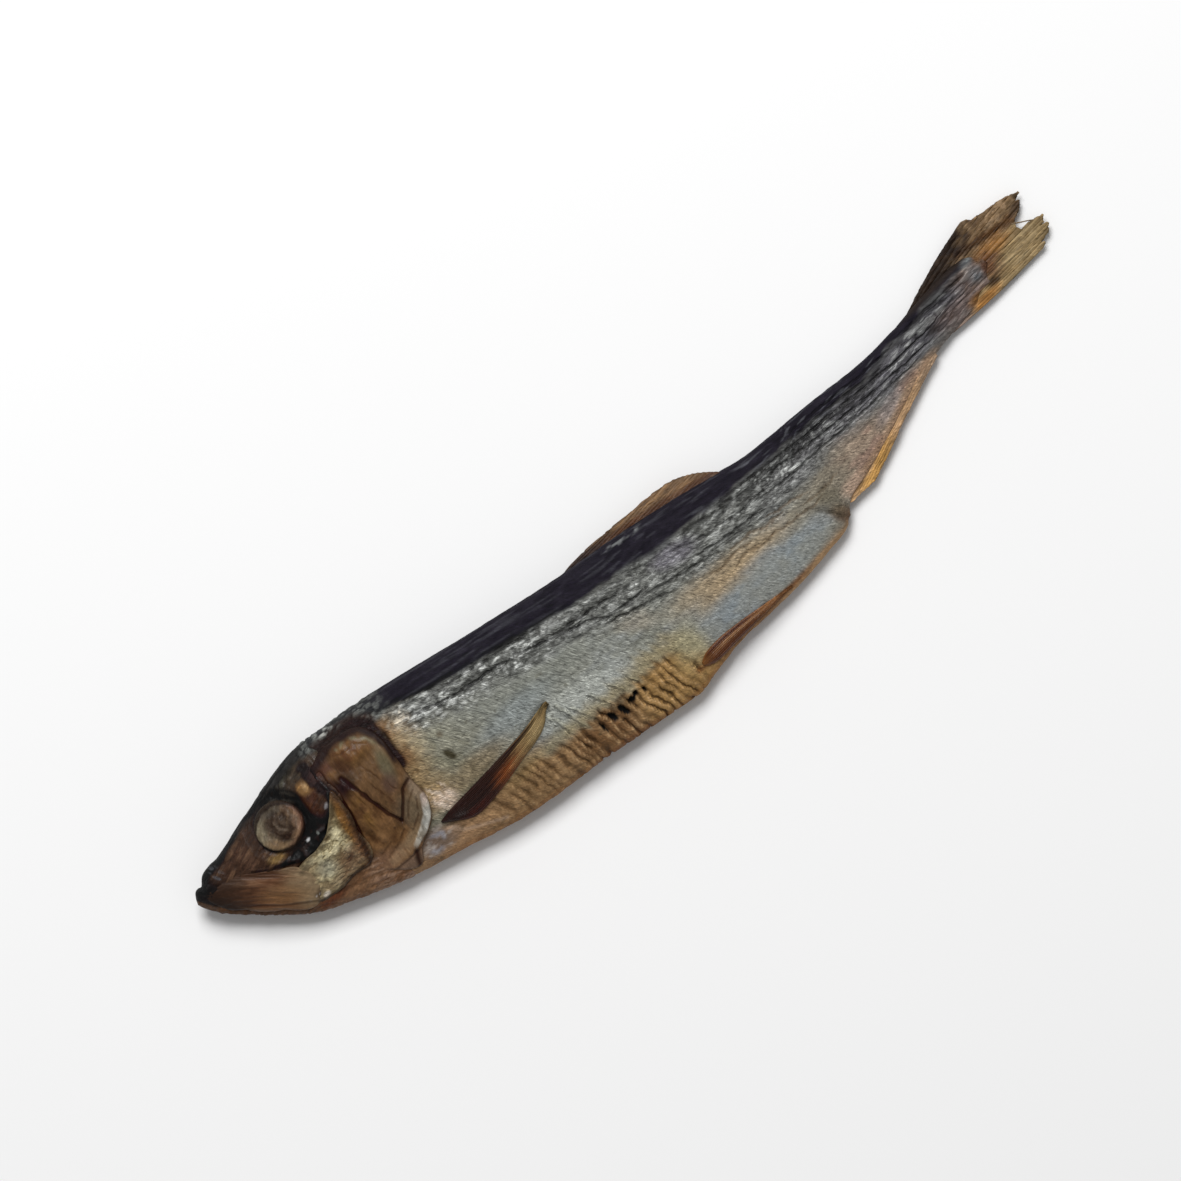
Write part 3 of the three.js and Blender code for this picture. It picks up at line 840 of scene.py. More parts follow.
def marks_and_holes(look, x, y, z, side, wander, folded, below_matte):
    """Small marks, the holes in the belly, and what presses on the flank."""
    mark = patch(x + 0.3 * wander, y, (64.4, -9.8), (0.9, 1.7), 24, 0.4)
    look.wash(mark * 0.9, (50, 44, 28), silver=0.0, hatch=0.3)
    look.wash(patch(x + 0.5 * wander, y, (65.2, -5), (0.8, 0.7), 0, 0.6) * 0.6, (70, 56, 40), silver=0.0)
    dots = smooth(grain(x / 1.3, y / 1.1, z / 2, seed=70), 0.7, 0.92) * (1 - folded) * below_matte
    look.wash(dots * 0.45 * (1 - smooth(x, 100, 125)), (78, 72, 54))
    # Each hole sinks and is painted black inside as shade.
    for middle, size, lean in BELLY_HOLES:
        hole = patch(x, y, middle, size, lean, 0.45)
        look.relief -= 1.1 * hole
        look.wash(smooth(hole, 0.15, 0.6), HOLE_SHADE, gloss=0.2, silver=0.0)
    for line, reach in PRESSED:
        within = 1 - smooth(to_line(x, y, line), reach - 0.6, reach + 0.4)
        look.relief -= within * (0.3 + 0.5 * (side < 0))


def flesh_end(look, x, y, wander, flecks, below_matte):
    """The end of the flesh in the tail."""
    look.shade(1 - 0.3 * smooth(x, 200, 204) * (1 - smooth(x, 211, 216)) * below_matte)
    root = smooth(x + 2 * wander, 212, 221)
    look.wash(root * below_matte * 0.7, (106, 88, 78), silver=0.1)
    look.wash(smooth(x, 203, 213) * smooth(-y - 0.6 * wander, 2.4, 5.6) * below_matte * 0.5, (118, 98, 88))
    look.wash(root * below_matte * smooth(flecks, 0.2, 0.7) * 0.4, (136, 116, 100), gloss=0.6)
    look.wash(
        smooth(y + 0.1 * (205 - x), -0.9, 0.6) * smooth(x, 198, 206) * 0.96,
        (43, 37, 34),
        gloss=0.4,
        silver=0.0,
    )
    look.wash(
        patch(x + wander, y, (220.8, -2.4), (1.7, 1.9), 0, 0.7) * (0.5 + 0.4 * flecks),
        (104, 108, 112),
        gloss=0.65,
        silver=0.1,
    )
    look.wash(
        patch(x + wander, y, (221, 1.0), (1.8, 0.8), 10, 0.7) * (0.3 + 0.5 * flecks),
        (128, 132, 132),
        gloss=0.65,
        silver=0.1,
    )
    look.wash(patch(x, y, (218.6, -7.0), (3.0, 1.3), 0) * 0.85, (140, 100, 56), gloss=0.5)
    tip = smooth(x + 0.8 * wander, 222, 223.4)
    look.wash(tip * smooth(y, -1.6, 0) * 0.9, (112, 80, 50))
    look.wash(tip * smooth(y, -0.4, -2) * 0.9, (82, 56, 42))


def trunk_finish(x, y, z, side):
    """Folds, ribs and colours of the trunk. The two flanks are alike, with folds of their own."""
    back, keel = through(BACK_LINE, x), through(KEEL_LINE, x)
    level = y - (back + keel) / 2
    wander = 1.2 * cloudy(x / 9, y / 5, z / 9, seed=3)
    ragged = cloudy(x / 3.5, y / 1.6, z / 4, seed=5)
    rear = smooth(x, 92, 128)
    matte_end = through(MATTE_EDGE, x) + (0.35 + 0.35 * rear) * ragged
    below_matte = smooth(matte_end - y, -0.3 - 0.6 * rear, 0.4 + 0.6 * rear)
    below_folds = smooth(through(FOLDED_EDGE, x) - y + 1.8 * wander, -2.6, 3.2)
    fingers = 1.3 * smooth(x, 84, 92) * (1 - smooth(x, 117, 121))
    fingers = fingers * grain((x + 0.45 * y) / 1.1, y / 6, z / 4, seed=7)
    ochre_line = through(OCHRE_EDGE, x) + 0.6 * grain(x / 3, y / 3, z / 4, seed=6) + fingers
    in_ochre = smooth(ochre_line - y, -1.5, 1.5) * (1 - smooth(x + wander, 158, 165))
    look = Finish(len(x), SILVER_GREY, 0.55, 0.25, wrinkle=0.14, hatch=0.9)
    smooth_belly = silver_flank(look, x, y, z, wander, below_folds, in_ochre)
    folded = below_matte * (1 - below_folds)
    beneath = below_folds * (1 - in_ochre) * (1 - smooth_belly)
    folded_band(look, x, y, z, folded, beneath, matte_end, rear)
    long_creases(look, x, y, z, rear)
    matte_back(look, x, y, z, 1 - below_matte, level, matte_end)
    rough = ochre_belly(look, x, y, z, wander, in_ochre, ochre_line)
    belly_ribs(look, x, y, z, side, in_ochre, rough)
    keel_and_vent(look, x, y, z, keel, wander)
    flecks = smooth(cloudy(x / 1.4, y / 1.1, z / 2, seed=65), 0.0, 0.4)
    shoulder_and_chest(look, x, y, z, wander, flecks)
    marks_and_holes(look, x, y, z, side, wander, folded, below_matte)
    flesh_end(look, x, y, wander, flecks, below_matte)
    return look


def spaced(share, knots):
    """Stations along the body, by their share of the way, closer together where knots say."""
    at, density = np.array(knots, float).T
    reached = np.concatenate(((0,), np.cumsum((density[1:] + density[:-1]) / 2 * np.diff(at))))
    fine = np.linspace(at[0], at[-1], 2001)
    total = np.interp(fine, at, np.interp(at, at, reached))
    return np.interp(share * reached[-1], total, fine)


def closed_skin(station, turn, rise, closing):
    """Places on the skin of a tube along the body, drawn in to its middle where it closes."""
    outside = skin(station, turn, rise)
    middle = (skin(station, turn * 0, rise) + skin(station, turn * 0 + math.pi, rise)) / 2
    return outside + closing[:, None] * (middle - outside)


# The trunk starts inside the head, narrow, and comes up to its full size under the gill covers.
trunk, turn, share = round_ball("trunk", TRUNK_ROUND, TRUNK_ALONG)
turn = turn + EVEN_SPACING * np.sin(2 * turn)
station = spaced(share, TRUNK_DENSITY)
tucked = -TRUNK_TUCK * (1 - smooth(station, TRUNK_START, TRUNK_FULL))
base = closed_skin(station, turn, tucked, 1 - smooth(share, 0, CLOSING_SHARE))
move_points(trunk, base)
trunk_look = trunk_finish(*base.T, np.sign(np.sin(turn)))
raise_relief(trunk, trunk_look.relief, TRUNK_LOWEST)
beside_folds = base[:, 1] - through(FOLDS_RUN, station)
keep_finish(trunk, trunk_look, np.column_stack((through(WRINKLES_COUNT, station), beside_folds, base[:, 2])))
trunk_skin = dried("trunk_skin", 3000, 0.28, along=(0.003, 0.00055, -5), across=(0.0026, 0.00042, -36))
show(trunk, trunk_skin)


# ---- the skull ----
# Thin dark skin dried onto the bones of the head. It sinks into a moat round each eye, where the fluid of
# the eye has set to a black gloss, and runs into the trunk under the gill covers.

SKULL_END = 47.0  # hidden in the trunk
SKULL_ROUND = 220
SKULL_ALONG = 250
SKULL_RISE = 0.15  # it lies over the end of the trunk, at the nape
SKULL_TUCK = 2.6  # how much narrower it ends, inside the trunk
SKULL_LOWEST = 0.26
SKULL_DENSITY = ((0, 3), (3, 2), (12, 1.2), (20, 1.2), (38, 1.1), (SKULL_END, 0.8))
EYE_MIDDLE = (25.3, 2.0)
EYE_RADIUS = 5.6
MOAT_RADIUS = 8.4
MOAT_DEPTH = 0.9

SKULL_BROWN = (72, 54, 44)
SKULL_BLACK = (22, 20, 20)
SET_FLUID = (24, 19, 18)
JAW_BROWN = (101, 71, 53)
# Painted shade in the creases of the head.
CREASE_SHADE = (44, 28, 24)

LOWER_LID = (
    (14.2, -2), (17, -4), (20, -5.2), (23.5, -6.3), (27.5, -7), (31, -6.4), (34, -4.3), (36.6, -2),
    (38.2, 0.6),
)
CHIN_CREASE = ((41, -20.9), (44, -21.4), (48, -21.6))
BEHIND_EYE = ((38.4, -0.6), (37.8, 3), (37.6, 5.5), (37.2, 8.4))
# Covered by the jaw, the cheek and the gill cover, so the skin lies a little lower there.
COVERED = ((10, -5), (18, -10), (28, -11), (38, -9), (46, -10), (48, 0))


def eye_place(x, y):
    """How far each place is from the middle of the eye, and in what direction."""
    dx, dy = x - EYE_MIDDLE[0], y - EYE_MIDDLE[1]
    return np.hypot(dx, dy), np.arctan2(dy, dx)


def dark_band(x, y):
    """The dark band behind the eye, as a mask that frays along its edges."""
    frayed = x + 0.5 * grain(x / 1.2, y / 0.8, 0, seed=128)
    return smooth(stroke(frayed, y, BEHIND_EYE, 4.2), 0.05, 0.65)


def head_streaks(look, x, y, z, back, blotchy):
    """Streaks from the snout to the eye and over the roof of the head."""
    rising = smooth(
        folds((x * 0.92 + y * 0.38) / 4.5, (y * 0.92 - x * 0.38) / 0.9, z / 3, seed=106), 0.35, 0.95
    )
    front = 1 - smooth(x, 20, 26)
    look.wash(front * rising * blotchy * 0.4, (108, 84, 66), gloss=0.55)
    look.wash(front * (1 - smooth(rising, 0, 0.3)) * 0.4, (46, 34, 30))
    inland = smooth(back - y, 0.4, 2.2)
    look.relief += 0.14 * (rising - 0.5) * smooth(x, 5, 9) * inland
    roof = smooth(x, 24, 29) * smooth(y, 6.2, 8)
    furrow = folds((x * 0.8 + y * 0.6) / 3.2, (y * 0.8 - x * 0.6) / 1.1, z / 3, seed=109)
    look.wash(roof * 0.85, (45, 44, 39), gloss=0.6)
    look.wash(roof * smooth(furrow, 0.55, 1) * 0.4, (92, 91, 80), gloss=0.7)
    look.relief += roof * 0.26 * (furrow - 0.5) * inland
    look.wash(patch(x, y, (34, 7.6), (4.0, 1.6), 20, 0.5) * 0.75, (58, 49, 41))
    look.wash(patch(x, y, (40, 8.4), (3.4, 1.8), -10, 0.5) * 0.7, (62, 47, 40))
    # Pale grey wrinkles at the nape, made paler on their ridges by painted highlights.
    nape = patch(x, y, (44.8, 11), (4.2, 1.5), -10, 0.5)
    look.wash(nape * smooth(furrow, 0.35, 0.8) * 0.7, (136, 136, 124), gloss=0.7)


def forehead_and_snout(look, x, y, z, back, wander):
    """The black edge of the forehead and the black snout. Gives where that edge is."""
    edge = 1.5 + 0.9 * smooth(x, 22, 34) + 0.5 * wander
    black = smooth(y - back + edge, -0.7, 0.7)
    creased = folds(x / 4.5, (y - back) / 1.4, z / 1.1, seed=113)
    look.wash(black * 0.94, SKULL_BLACK, gloss=0.4, wrinkle=0.45)
    look.wash(black * smooth(creased, 0.5, 1) * smooth(x, 12, 20) * 0.4, (58, 57, 56), gloss=0.55)
    look.relief += black * 0.16 * (creased - 0.6) * smooth(x, 12, 16)
    nape_flecks(look, x, y, z, smooth(x + 1.5 * wander, 36.5, 41.5) * smooth(y, 9, 10.6))
    snout = 1 - smooth(x + 0.35 * y + wander, 5.5, 10)
    look.wash(snout * 0.92, (29, 27, 27), gloss=0.5, wrinkle=0.4)
    # Pale bluish chips on the black snout, partly the skin's own colour and partly painted highlights.
    chips_and_glints = smooth(folds((x * 0.5 - y * 0.86) / 2.2, (x * 0.86 + y * 0.5) / 0.8, z / 2, seed=112), 0.5, 1)
    chips_and_glints = chips_and_glints * smooth(cloudy(x / 2, y / 2, z / 1.2, seed=116), -0.4, 0.3)
    look.wash(patch(x, y, (6.8, 2.8), (1.9, 2.4), 25, 0.5) * chips_and_glints * 0.55, (88, 91, 96), gloss=0.75)
    look.relief += snout * smooth(x, 1, 3) * 0.2 * cloudy(x / 1.6, y / 1.2, z / 1.6, seed=114)
    return black


def throat(look, x, y, z, keel, blotchy):
    """The strip below the cheek and the lower jaw."""
    below = smooth(-y - 16.4, 0, 1.2) * smooth(x, 17, 22)
    look.wash(below * 0.92, (128, 97, 72), gloss=0.6, wrinkle=0.3)
    lengthwise = folds(x / 7, (y + 0.36 * x) / 0.75, z / 3, seed=117)
    look.wash(below * (1 - smooth(lengthwise, 0, 0.4)) * 0.4, (74, 50, 34))
    look.wash(below * smooth(x, 31, 37) * smooth(lengthwise, 0.3, 0.9) * 0.6, (158, 132, 114))
    look.wash(below * smooth(blotchy, 0.6, 1) * 0.3, (96, 62, 40))
    look.relief += below * 0.2 * (lengthwise - 0.5) * smooth(y - keel, 0.3, 1.5)
    look.wash(below * smooth(x, 19, 22) * (1 - smooth(x, 25, 30)) * smooth(y, -20, -18) * 0.7, (84, 42, 31))
    jaw_rim = smooth(keel + 1.9 - y, -0.5, 0.5) * (1 - smooth(x, 19, 22))
    look.wash(jaw_rim * 0.8, (96, 70, 52))
    look.crease(stroke(x, y, CHIN_CREASE, 0.9), 0.3, CREASE_SHADE, 0.6)


def eye_surround(look, x, y, z, away, bearing, wander, lumps, black):
    """Round the eye: the moat, the lids and the fluid that has set in them, with painted glints on the fluid.
    """
    outside = smooth(away, EYE_RADIUS - 0.5, EYE_RADIUS + 0.3)
    moat = np.clip(1 - (away / MOAT_RADIUS) ** 2, 0, None)
    look.relief -= MOAT_DEPTH * np.minimum(moat * 2, 1)
    brow = np.cos(bearing - math.radians(80))
    ring_wide = 0.7 + 2.0 * smooth(np.cos(bearing - math.radians(6)), -0.1, 0.7)
    ring = (1 - smooth(away - EYE_RADIUS - ring_wide, -0.5, 0.7)) * outside
    look.wash(
        (1 - smooth(away, 7.2, 9.2)) * smooth(brow, -0.1, 0.7) * (1 - black) * 0.8,
        (33, 30, 29),
        gloss=0.6,
    )
    look.wash(ring * 0.95, SET_FLUID, gloss=0.6, wrinkle=0.2)
    lid_folds = folds(away / 0.75, bearing * 1.6, z / 4, seed=121)
    brow = smooth(brow, 0.3, 0.8) * (1 - smooth(away, 7.2, 9)) * (1 - black)
    look.wash(brow * smooth(lid_folds, 0.6, 1) * 0.3, (86, 84, 78))
    look.relief += (1 - smooth(away, 7.4, 9)) * outside * 0.16 * (lid_folds - 0.4)
    left_lid = patch(x, y, (18.8, 3.0), (1.5, 4.0), -18, 0.5)
    look.wash(left_lid * 0.85, (50, 37, 30), gloss=0.45, wrinkle=0.25)
    look.wash(patch(x, y, (24.8, -3.8), (4.4, 0.9), -8, 0.5) * outside * 0.85, (74, 52, 41))
    under = patch(x, y, (28.2, -5.3), (7.2, 1.9), 4, 0.35)
    look.wash(under * 0.95, SET_FLUID, gloss=0.75, wrinkle=0.0, hatch=0.0)
    look.wash(patch(x, y, (34.2, -2.2), (2.8, 2.0), 38, 0.5) * 0.92, SET_FLUID, gloss=0.8)
    lid = stroke(x, y + 0.2 * wander, LOWER_LID, 1.3 + 2.2 * smooth(x, 17, 25) * (1 - smooth(x, 31, 37)))
    look.relief += (0.2 + 0.3 * smooth(x, 20, 25)) * lid - 0.35 * under
    look.wash(smooth(lid, 0.1, 0.6) * (0.7 + 0.25 * smooth(x, 17, 21)), SET_FLUID, gloss=0.55, wrinkle=0.1)
    look.relief += under * 0.3 * lumps
    lump_glints = smooth(lumps, 0.3, 0.55)
    look.wash(under * smooth(lumps, -0.2, 0.4) * 0.35, (62, 52, 47))
    # Painted glints on the lumps of the set fluid, and two larger painted glints.
    look.wash(under * lump_glints * smooth(x, 24, 27) * 0.3, (84, 84, 88), gloss=0.9)
    look.wash(patch(x, y, (28.2, -4.6), (0.5, 0.3), 10, 0.5) * 0.85, (205, 205, 205), gloss=0.95)
    look.wash(patch(x, y, (30.9, -4.7), (0.3, 0.35), 0, 0.5) * 0.6, (150, 155, 150), gloss=0.95)
    yellow = patch(x + 0.4 * lumps, y + 0.4 * lumps, (20.3, -3.2), (1.8, 0.9), -24, 0.7)
    look.wash(yellow * 0.85, (124, 100, 62), gloss=0.6)


def behind_the_eye(look, x, y, z, wander, lumps):
    """Behind the eye: an orange window in the bone, and a dark band behind that."""
    window = patch(x, y, (34.6, 2.0), (1.8, 4.0), -4, 0.4)
    look.wash(window * 0.9, (66, 43, 35), gloss=0.55)
    look.wash(window * smooth(lumps, 0.1, 0.5) * 0.3, (90, 64, 46))
    look.wash(patch(x, y, (35.8, -0.2), (1.3, 1.8), -20, 0.6) * 0.6, (58, 44, 36))
    glow = patch(x + 0.6 * lumps, y + 0.5 * wander, (34.8, 4.9), (1.35, 1.6), 0, 0.5)
    look.wash(glow * 0.85, (124, 94, 60), gloss=0.6)
    look.wash(
        patch(x, y, (35.3, 5.2), (0.6, 1.1), -10, 0.6) * smooth(lumps, -0.3, 0.2) * 0.7, (168, 138, 100)
    )
    look.relief += 0.15 * window * (0.5 + lumps)
    band = dark_band(x, y)
    look.wash(band * 0.9, (32, 27, 30), gloss=0.5)
    look.wash(band * smooth(lumps, 0.2, 0.6) * 0.3, (66, 54, 50))
    look.relief += 0.1 * band * folds(x / 1.2, y / 0.9, z / 2, seed=127)
    # A painted glint on the black skin.
    look.wash(patch(x, y, (36.2, -1.2), (0.7, 0.35), 35, 0.5) * 0.6, (160, 158, 160), gloss=0.9)
    look.wash(patch(x, y, (41, 5.6), (3.2, 1.6), 0, 0.6) * 0.7, (78, 52, 46))


def skull_finish(x, y, z, side):
    """Colours, wrinkles and the moat of the eye."""
    back, keel = through(BACK_LINE, x), through(KEEL_LINE, x)
    wander = cloudy(x / 4, y / 3, z / 4, seed=103)
    away, bearing = eye_place(x, y)
    away = away - 0.25 * grain(1.6 * np.cos(bearing), 1.6 * np.sin(bearing), side * 2.0, seed=102)
    look = Finish(len(x), SKULL_BROWN, 0.6, 0.0, wrinkle=0.45, hatch=0.25)
    look.shade(1 + 0.36 * cloudy(x / 3, y / 2, z / 3, seed=104))
    blotchy = smooth(cloudy(x / 2.5, y / 1.8, z / 3, seed=107), -0.4, 0.3)
    lumps = cloudy(x / 1.3, y / 1.1, z / 2, seed=123)
    head_streaks(look, x, y, z, back, blotchy)
    black = forehead_and_snout(look, x, y, z, back, wander)
    throat(look, x, y, z, keel, blotchy)
    eye_surround(look, x, y, z, away, bearing, wander, lumps, black)
    behind_the_eye(look, x, y, z, wander, lumps)
    look.relief -= (0.45 + 0.35 * (side < 0)) * (1 - smooth(to_line(x, y, COVERED), 3.5, 7.5))
    return look


skull, turn, share = round_ball("skull", SKULL_ROUND, SKULL_ALONG)
turn = turn + EVEN_SPACING * np.sin(2 * turn)
station = spaced(share, SKULL_DENSITY)
lifted = SKULL_RISE * smooth(station, 0, 2) - SKULL_TUCK * smooth(station, 40.6, 45)
move_points(skull, closed_skin(station, turn, lifted, smooth(share, 1 - CLOSING_SHARE, 1)))
skull_look = skull_finish(*places_of(skull).T, np.sign(np.sin(turn)))
raise_relief(skull, skull_look.relief, SKULL_LOWEST)
keep_finish(skull, skull_look)
skull_skin = dried("skull_skin", 1500, 0.45, along=(0.0026, 0.0006, 22), across=(0.002, 0.0006, -40))
show(skull, skull_skin)


# ---- the eyes ----
# One on each side: a shrunken ball that has dried dull and flat in its socket, with a tan ring round a brown
# pupil, a rim darkened with painted shade where the lids hold it, and a painted shadow under the upper lid.

EYE_RISE = 1.0  # how far the ball stands out of the flank
EYE_ROUND = 96
EYE_LOWEST, INNER_EYE_LOWEST = 0.06, 0.4
EYE_COLOUR = (122, 110, 90)
DARK_SWIRL = (
    ((26.4, 4.9), (24.6, 4.2), (23.6, 2.4), (23.9, 0.4), (25.2, -1.1), (27, -0.6)),
    ((27.6, 3.4), (28, 1.6), (27.2, 0.4)),
    ((24.2, 5.6), (26, 4.6), (27.6, 5.2)),
)
PALE_SWIRL = (
    ((24.6, 3.4), (24.9, 1.4), (26, 0.4)),
    ((28.8, 3.6), (29.2, 1.6), (28.4, -0.4)),
    ((21.4, 4.6), (22.6, 5.6), (24.4, 6)),
    ((20.8, 2.6), (21.8, 1.2), (22, -0.6)),
)


def eye_finish(x, y, z, side):
    """The dull ball, its ring and its pupil, all in strokes that curl round its middle."""
    away, bearing = eye_place(x, y)
    curl = 1.4 * np.array((np.cos(bearing), np.sin(bearing)))
    strokes = grain(away / 0.62, curl[0] * 1.6, curl[1] * 1.6, seed=141)
    blots = cloudy(x / 1.6, y / 1.6, z / 2, seed=140)
    look = Finish(len(x), EYE_COLOUR, 0.6, 0.05, wrinkle=0.35)
    torn = grain((x + y) / 2.2, (x - y) / 0.6, z / 2, seed=144)
    look.shade(1 + 0.34 * blots + 0.07 * strokes + 0.24 * torn)
    rear = smooth(np.cos(bearing + math.radians(20)), 0.0, 0.8) * smooth(away + 0.5 * blots, 1.8, 3.4)
    look.wash(rear * 0.85, (114, 88, 67), gloss=0.6)
    look.wash(rear * smooth(torn + blots, 0.0, 0.5) * 0.7, (150, 120, 92))
    look.wash(
        smooth(away, 4.3, 5.1) * smooth(np.cos(bearing + math.radians(35)), 0.1, 0.7) * 0.75,
        (74, 46, 40),
    )
    # A pinkish painted glint on the tan ring.
    look.wash(patch(x, y, (29, 0.4), (1.9, 0.8), 66, 0.5) * 0.7, (158, 126, 104), gloss=0.75)
    look.wash(patch(x, y, (29.2, 4.6), (1.5, 1.2), 40, 0.6) * 0.7, (70, 54, 44))
    pale = patch(x, y, (21.5, 3.6), (1.4, 3.0), -30, 0.6)
    look.wash(pale * smooth(blots, -0.5, 0.3) * 0.55, (136, 130, 110), gloss=0.7)
    swirled = 0.9 * cloudy(x / 1.8, y / 1.8, z, seed=146)
    inner = patch(x + 0.9 * blots + 0.4 * torn, y + swirled, (25.4, 2.1), (3.5, 4.1), 14, 0.4)
    look.wash(inner * 0.92, (58, 46, 39), gloss=0.6)
    look.wash(inner * smooth(torn + blots, 0.2, 0.8) * 0.35, (94, 78, 64))
    look.wash(patch(x, y, (22.6, -1.6), (2.8, 1.2), -42, 0.6) * 0.7, (126, 100, 74))
    look.wash(patch(x, y, (26, -2.9), (2.6, 0.7), 6, 0.6) * 0.7, (104, 82, 66))
    bent = 0.55 * grain(x / 0.9, y / 0.9, z, seed=143)
    for line in DARK_SWIRL:
        look.wash(stroke(x + bent, y + bent, line, 1.7) * 0.5, (40, 31, 27))
    for line in PALE_SWIRL:
        look.wash(stroke(x + bent, y - bent, line, 1.1) * 0.4, (120, 106, 92), gloss=0.7)
    look.wash(patch(x, y, (24.9, -1.0), (1.6, 0.8), -10, 0.6) * 0.75, (40, 30, 27))
    # Painted shadow of the upper lid over the top of the ball.
    look.wash(patch(x, y + 0.4 * blots, (25.4, 5.8), (3.6, 1.1), -4, 0.5) * 0.7, (66, 60, 53))
    look.relief += (0.06 * strokes + 0.12 * torn) * (1 - smooth(away, 4.4, 5.4)) - 0.3 * inner
    # A rim darkened with painted shade where the lids hold the ball.
    rim = np.hypot((x - 25.3) / 5.6, (y - 1.65) / 4.85) + 0.05 * blots + 0.04 * torn
    look.wash(smooth(rim, 0.9, 1.02) * 0.92, (38, 31, 28), gloss=0.55)
    return look


for side, name in ((1, "eye_left"), (-1, "eye_right")):
    eye, turn, share = round_ball(name, EYE_ROUND, EYE_ROUND)
    out = EYE_RADIUS * np.sin(math.pi * share)
    x, y = EYE_MIDDLE[0] + out * np.cos(turn), EYE_MIDDLE[1] + out * np.sin(turn)
    move_points(eye, on_flank(x, y, -EYE_RISE * np.cos(math.pi * share), side))
    if side < 0:
        eye.flip_normals()
    eye_look = eye_finish(*places_of(eye).T, side)
    lowest = np.where(share > 0.5, EYE_LOWEST, INNER_EYE_LOWEST)
    raise_relief(eye, eye_look.relief * smooth(share, 0.5, 0.6), lowest)
    keep_finish(eye, eye_look)
    show(eye, dried(name + "_skin", 2200, 0.5, along=(0.0012, 0.0006, 40)))


# ---- the jaws ----
# One on each side: the long plate of the upper jaw over the lower one, of thin streaky bone in brown skin,
# lying on the head with its rear edge free.

JAW_OUTLINE = (
    (2.6, 1), (8, 0.6), (14, -2.1), (19, -5.2), (22.5, -7.4), (24.3, -12), (23, -15.6), (20.4, -16.9),
    (14, -12.9), (8, -8), (3.4, -3.4),
)
JAW_MIDDLE = (14, -7)
JAW_LOWEST = 0.04
PLATE_THICK = 0.55
RIM_WIDTH = 1.3  # of its rounded rim, as a share of the thickness
DROP_KEPT = 0.7  # how much of the rim's drop is kept where a plate lies on the table
INNER_SHARE = 0.1  # share of the way from pole to pole that goes to the hidden inner face


def to_outline(turn, middle, outline):
    """How far the outline is from the middle, in each direction."""
    dx, dy = np.array(outline, float).T - np.array(middle, float)[:, None]
    bearing, away = np.arctan2(dy, dx), np.hypot(dx, dy)
    order = np.argsort(bearing)
    bearing, away = bearing[order], away[order]
    knots = np.column_stack((
        np.concatenate((bearing[-3:] - 2 * math.pi, bearing, bearing[:3] + 2 * math.pi)),
        np.concatenate((away[-3:], away, away[:3])),
    ))
    return through(knots, np.arctan2(np.sin(turn), np.cos(turn)))


def bone_plates(name, middle, outline, rise, finish, material, lowest, around=230, along=130):
    """A thin plate of bone on each flank, inside its outline, with a rounded rim. Its rise changes with x, y.
    Each kind of plate has its own lowest height over the table, so that no two share a face there."""
    for side, hand in ((1, "_left"), (-1, "_right")):
        plate, turn, share = round_ball(name + hand, around, along)
        outer = share > INNER_SHARE
        out = np.where(outer, (1 - share) / (1 - INNER_SHARE), share / INNER_SHARE)
        reach = to_outline(turn, middle, outline)
        x, y = middle[0] + out * reach * np.cos(turn), middle[1] + out * reach * np.sin(turn)
        inset = np.clip(1 - (1 - out) * reach / (RIM_WIDTH * PLATE_THICK), 0, 1)
        drop = np.where(outer, PLATE_THICK * (1 - np.sqrt(1 - inset**2)), PLATE_THICK)
        move_points(plate, on_flank(x, y, rise(x, y) - drop, side))
        if side < 0:
            plate.flip_normals()
        look = finish(*places_of(plate).T, side)
        relief = look.relief * outer * smooth((1 - out) * reach, 0, 0.6)
        raise_relief(plate, relief, lowest + DROP_KEPT * drop)
        keep_finish(plate, look)
        show(plate, material)


def jaw_rise(x, y):
    """The plate comes out of the snout, and its upper edge is free only towards the rear."""
    free = 1 - smooth(y + 0.55 * x, 2.2, 5) * (1 - smooth(x, 18, 23))
    return through(((2, 0.1), (9, 0.4), (18, 0.5), (24, 0.34)), x) - 0.65 * (1 - free)


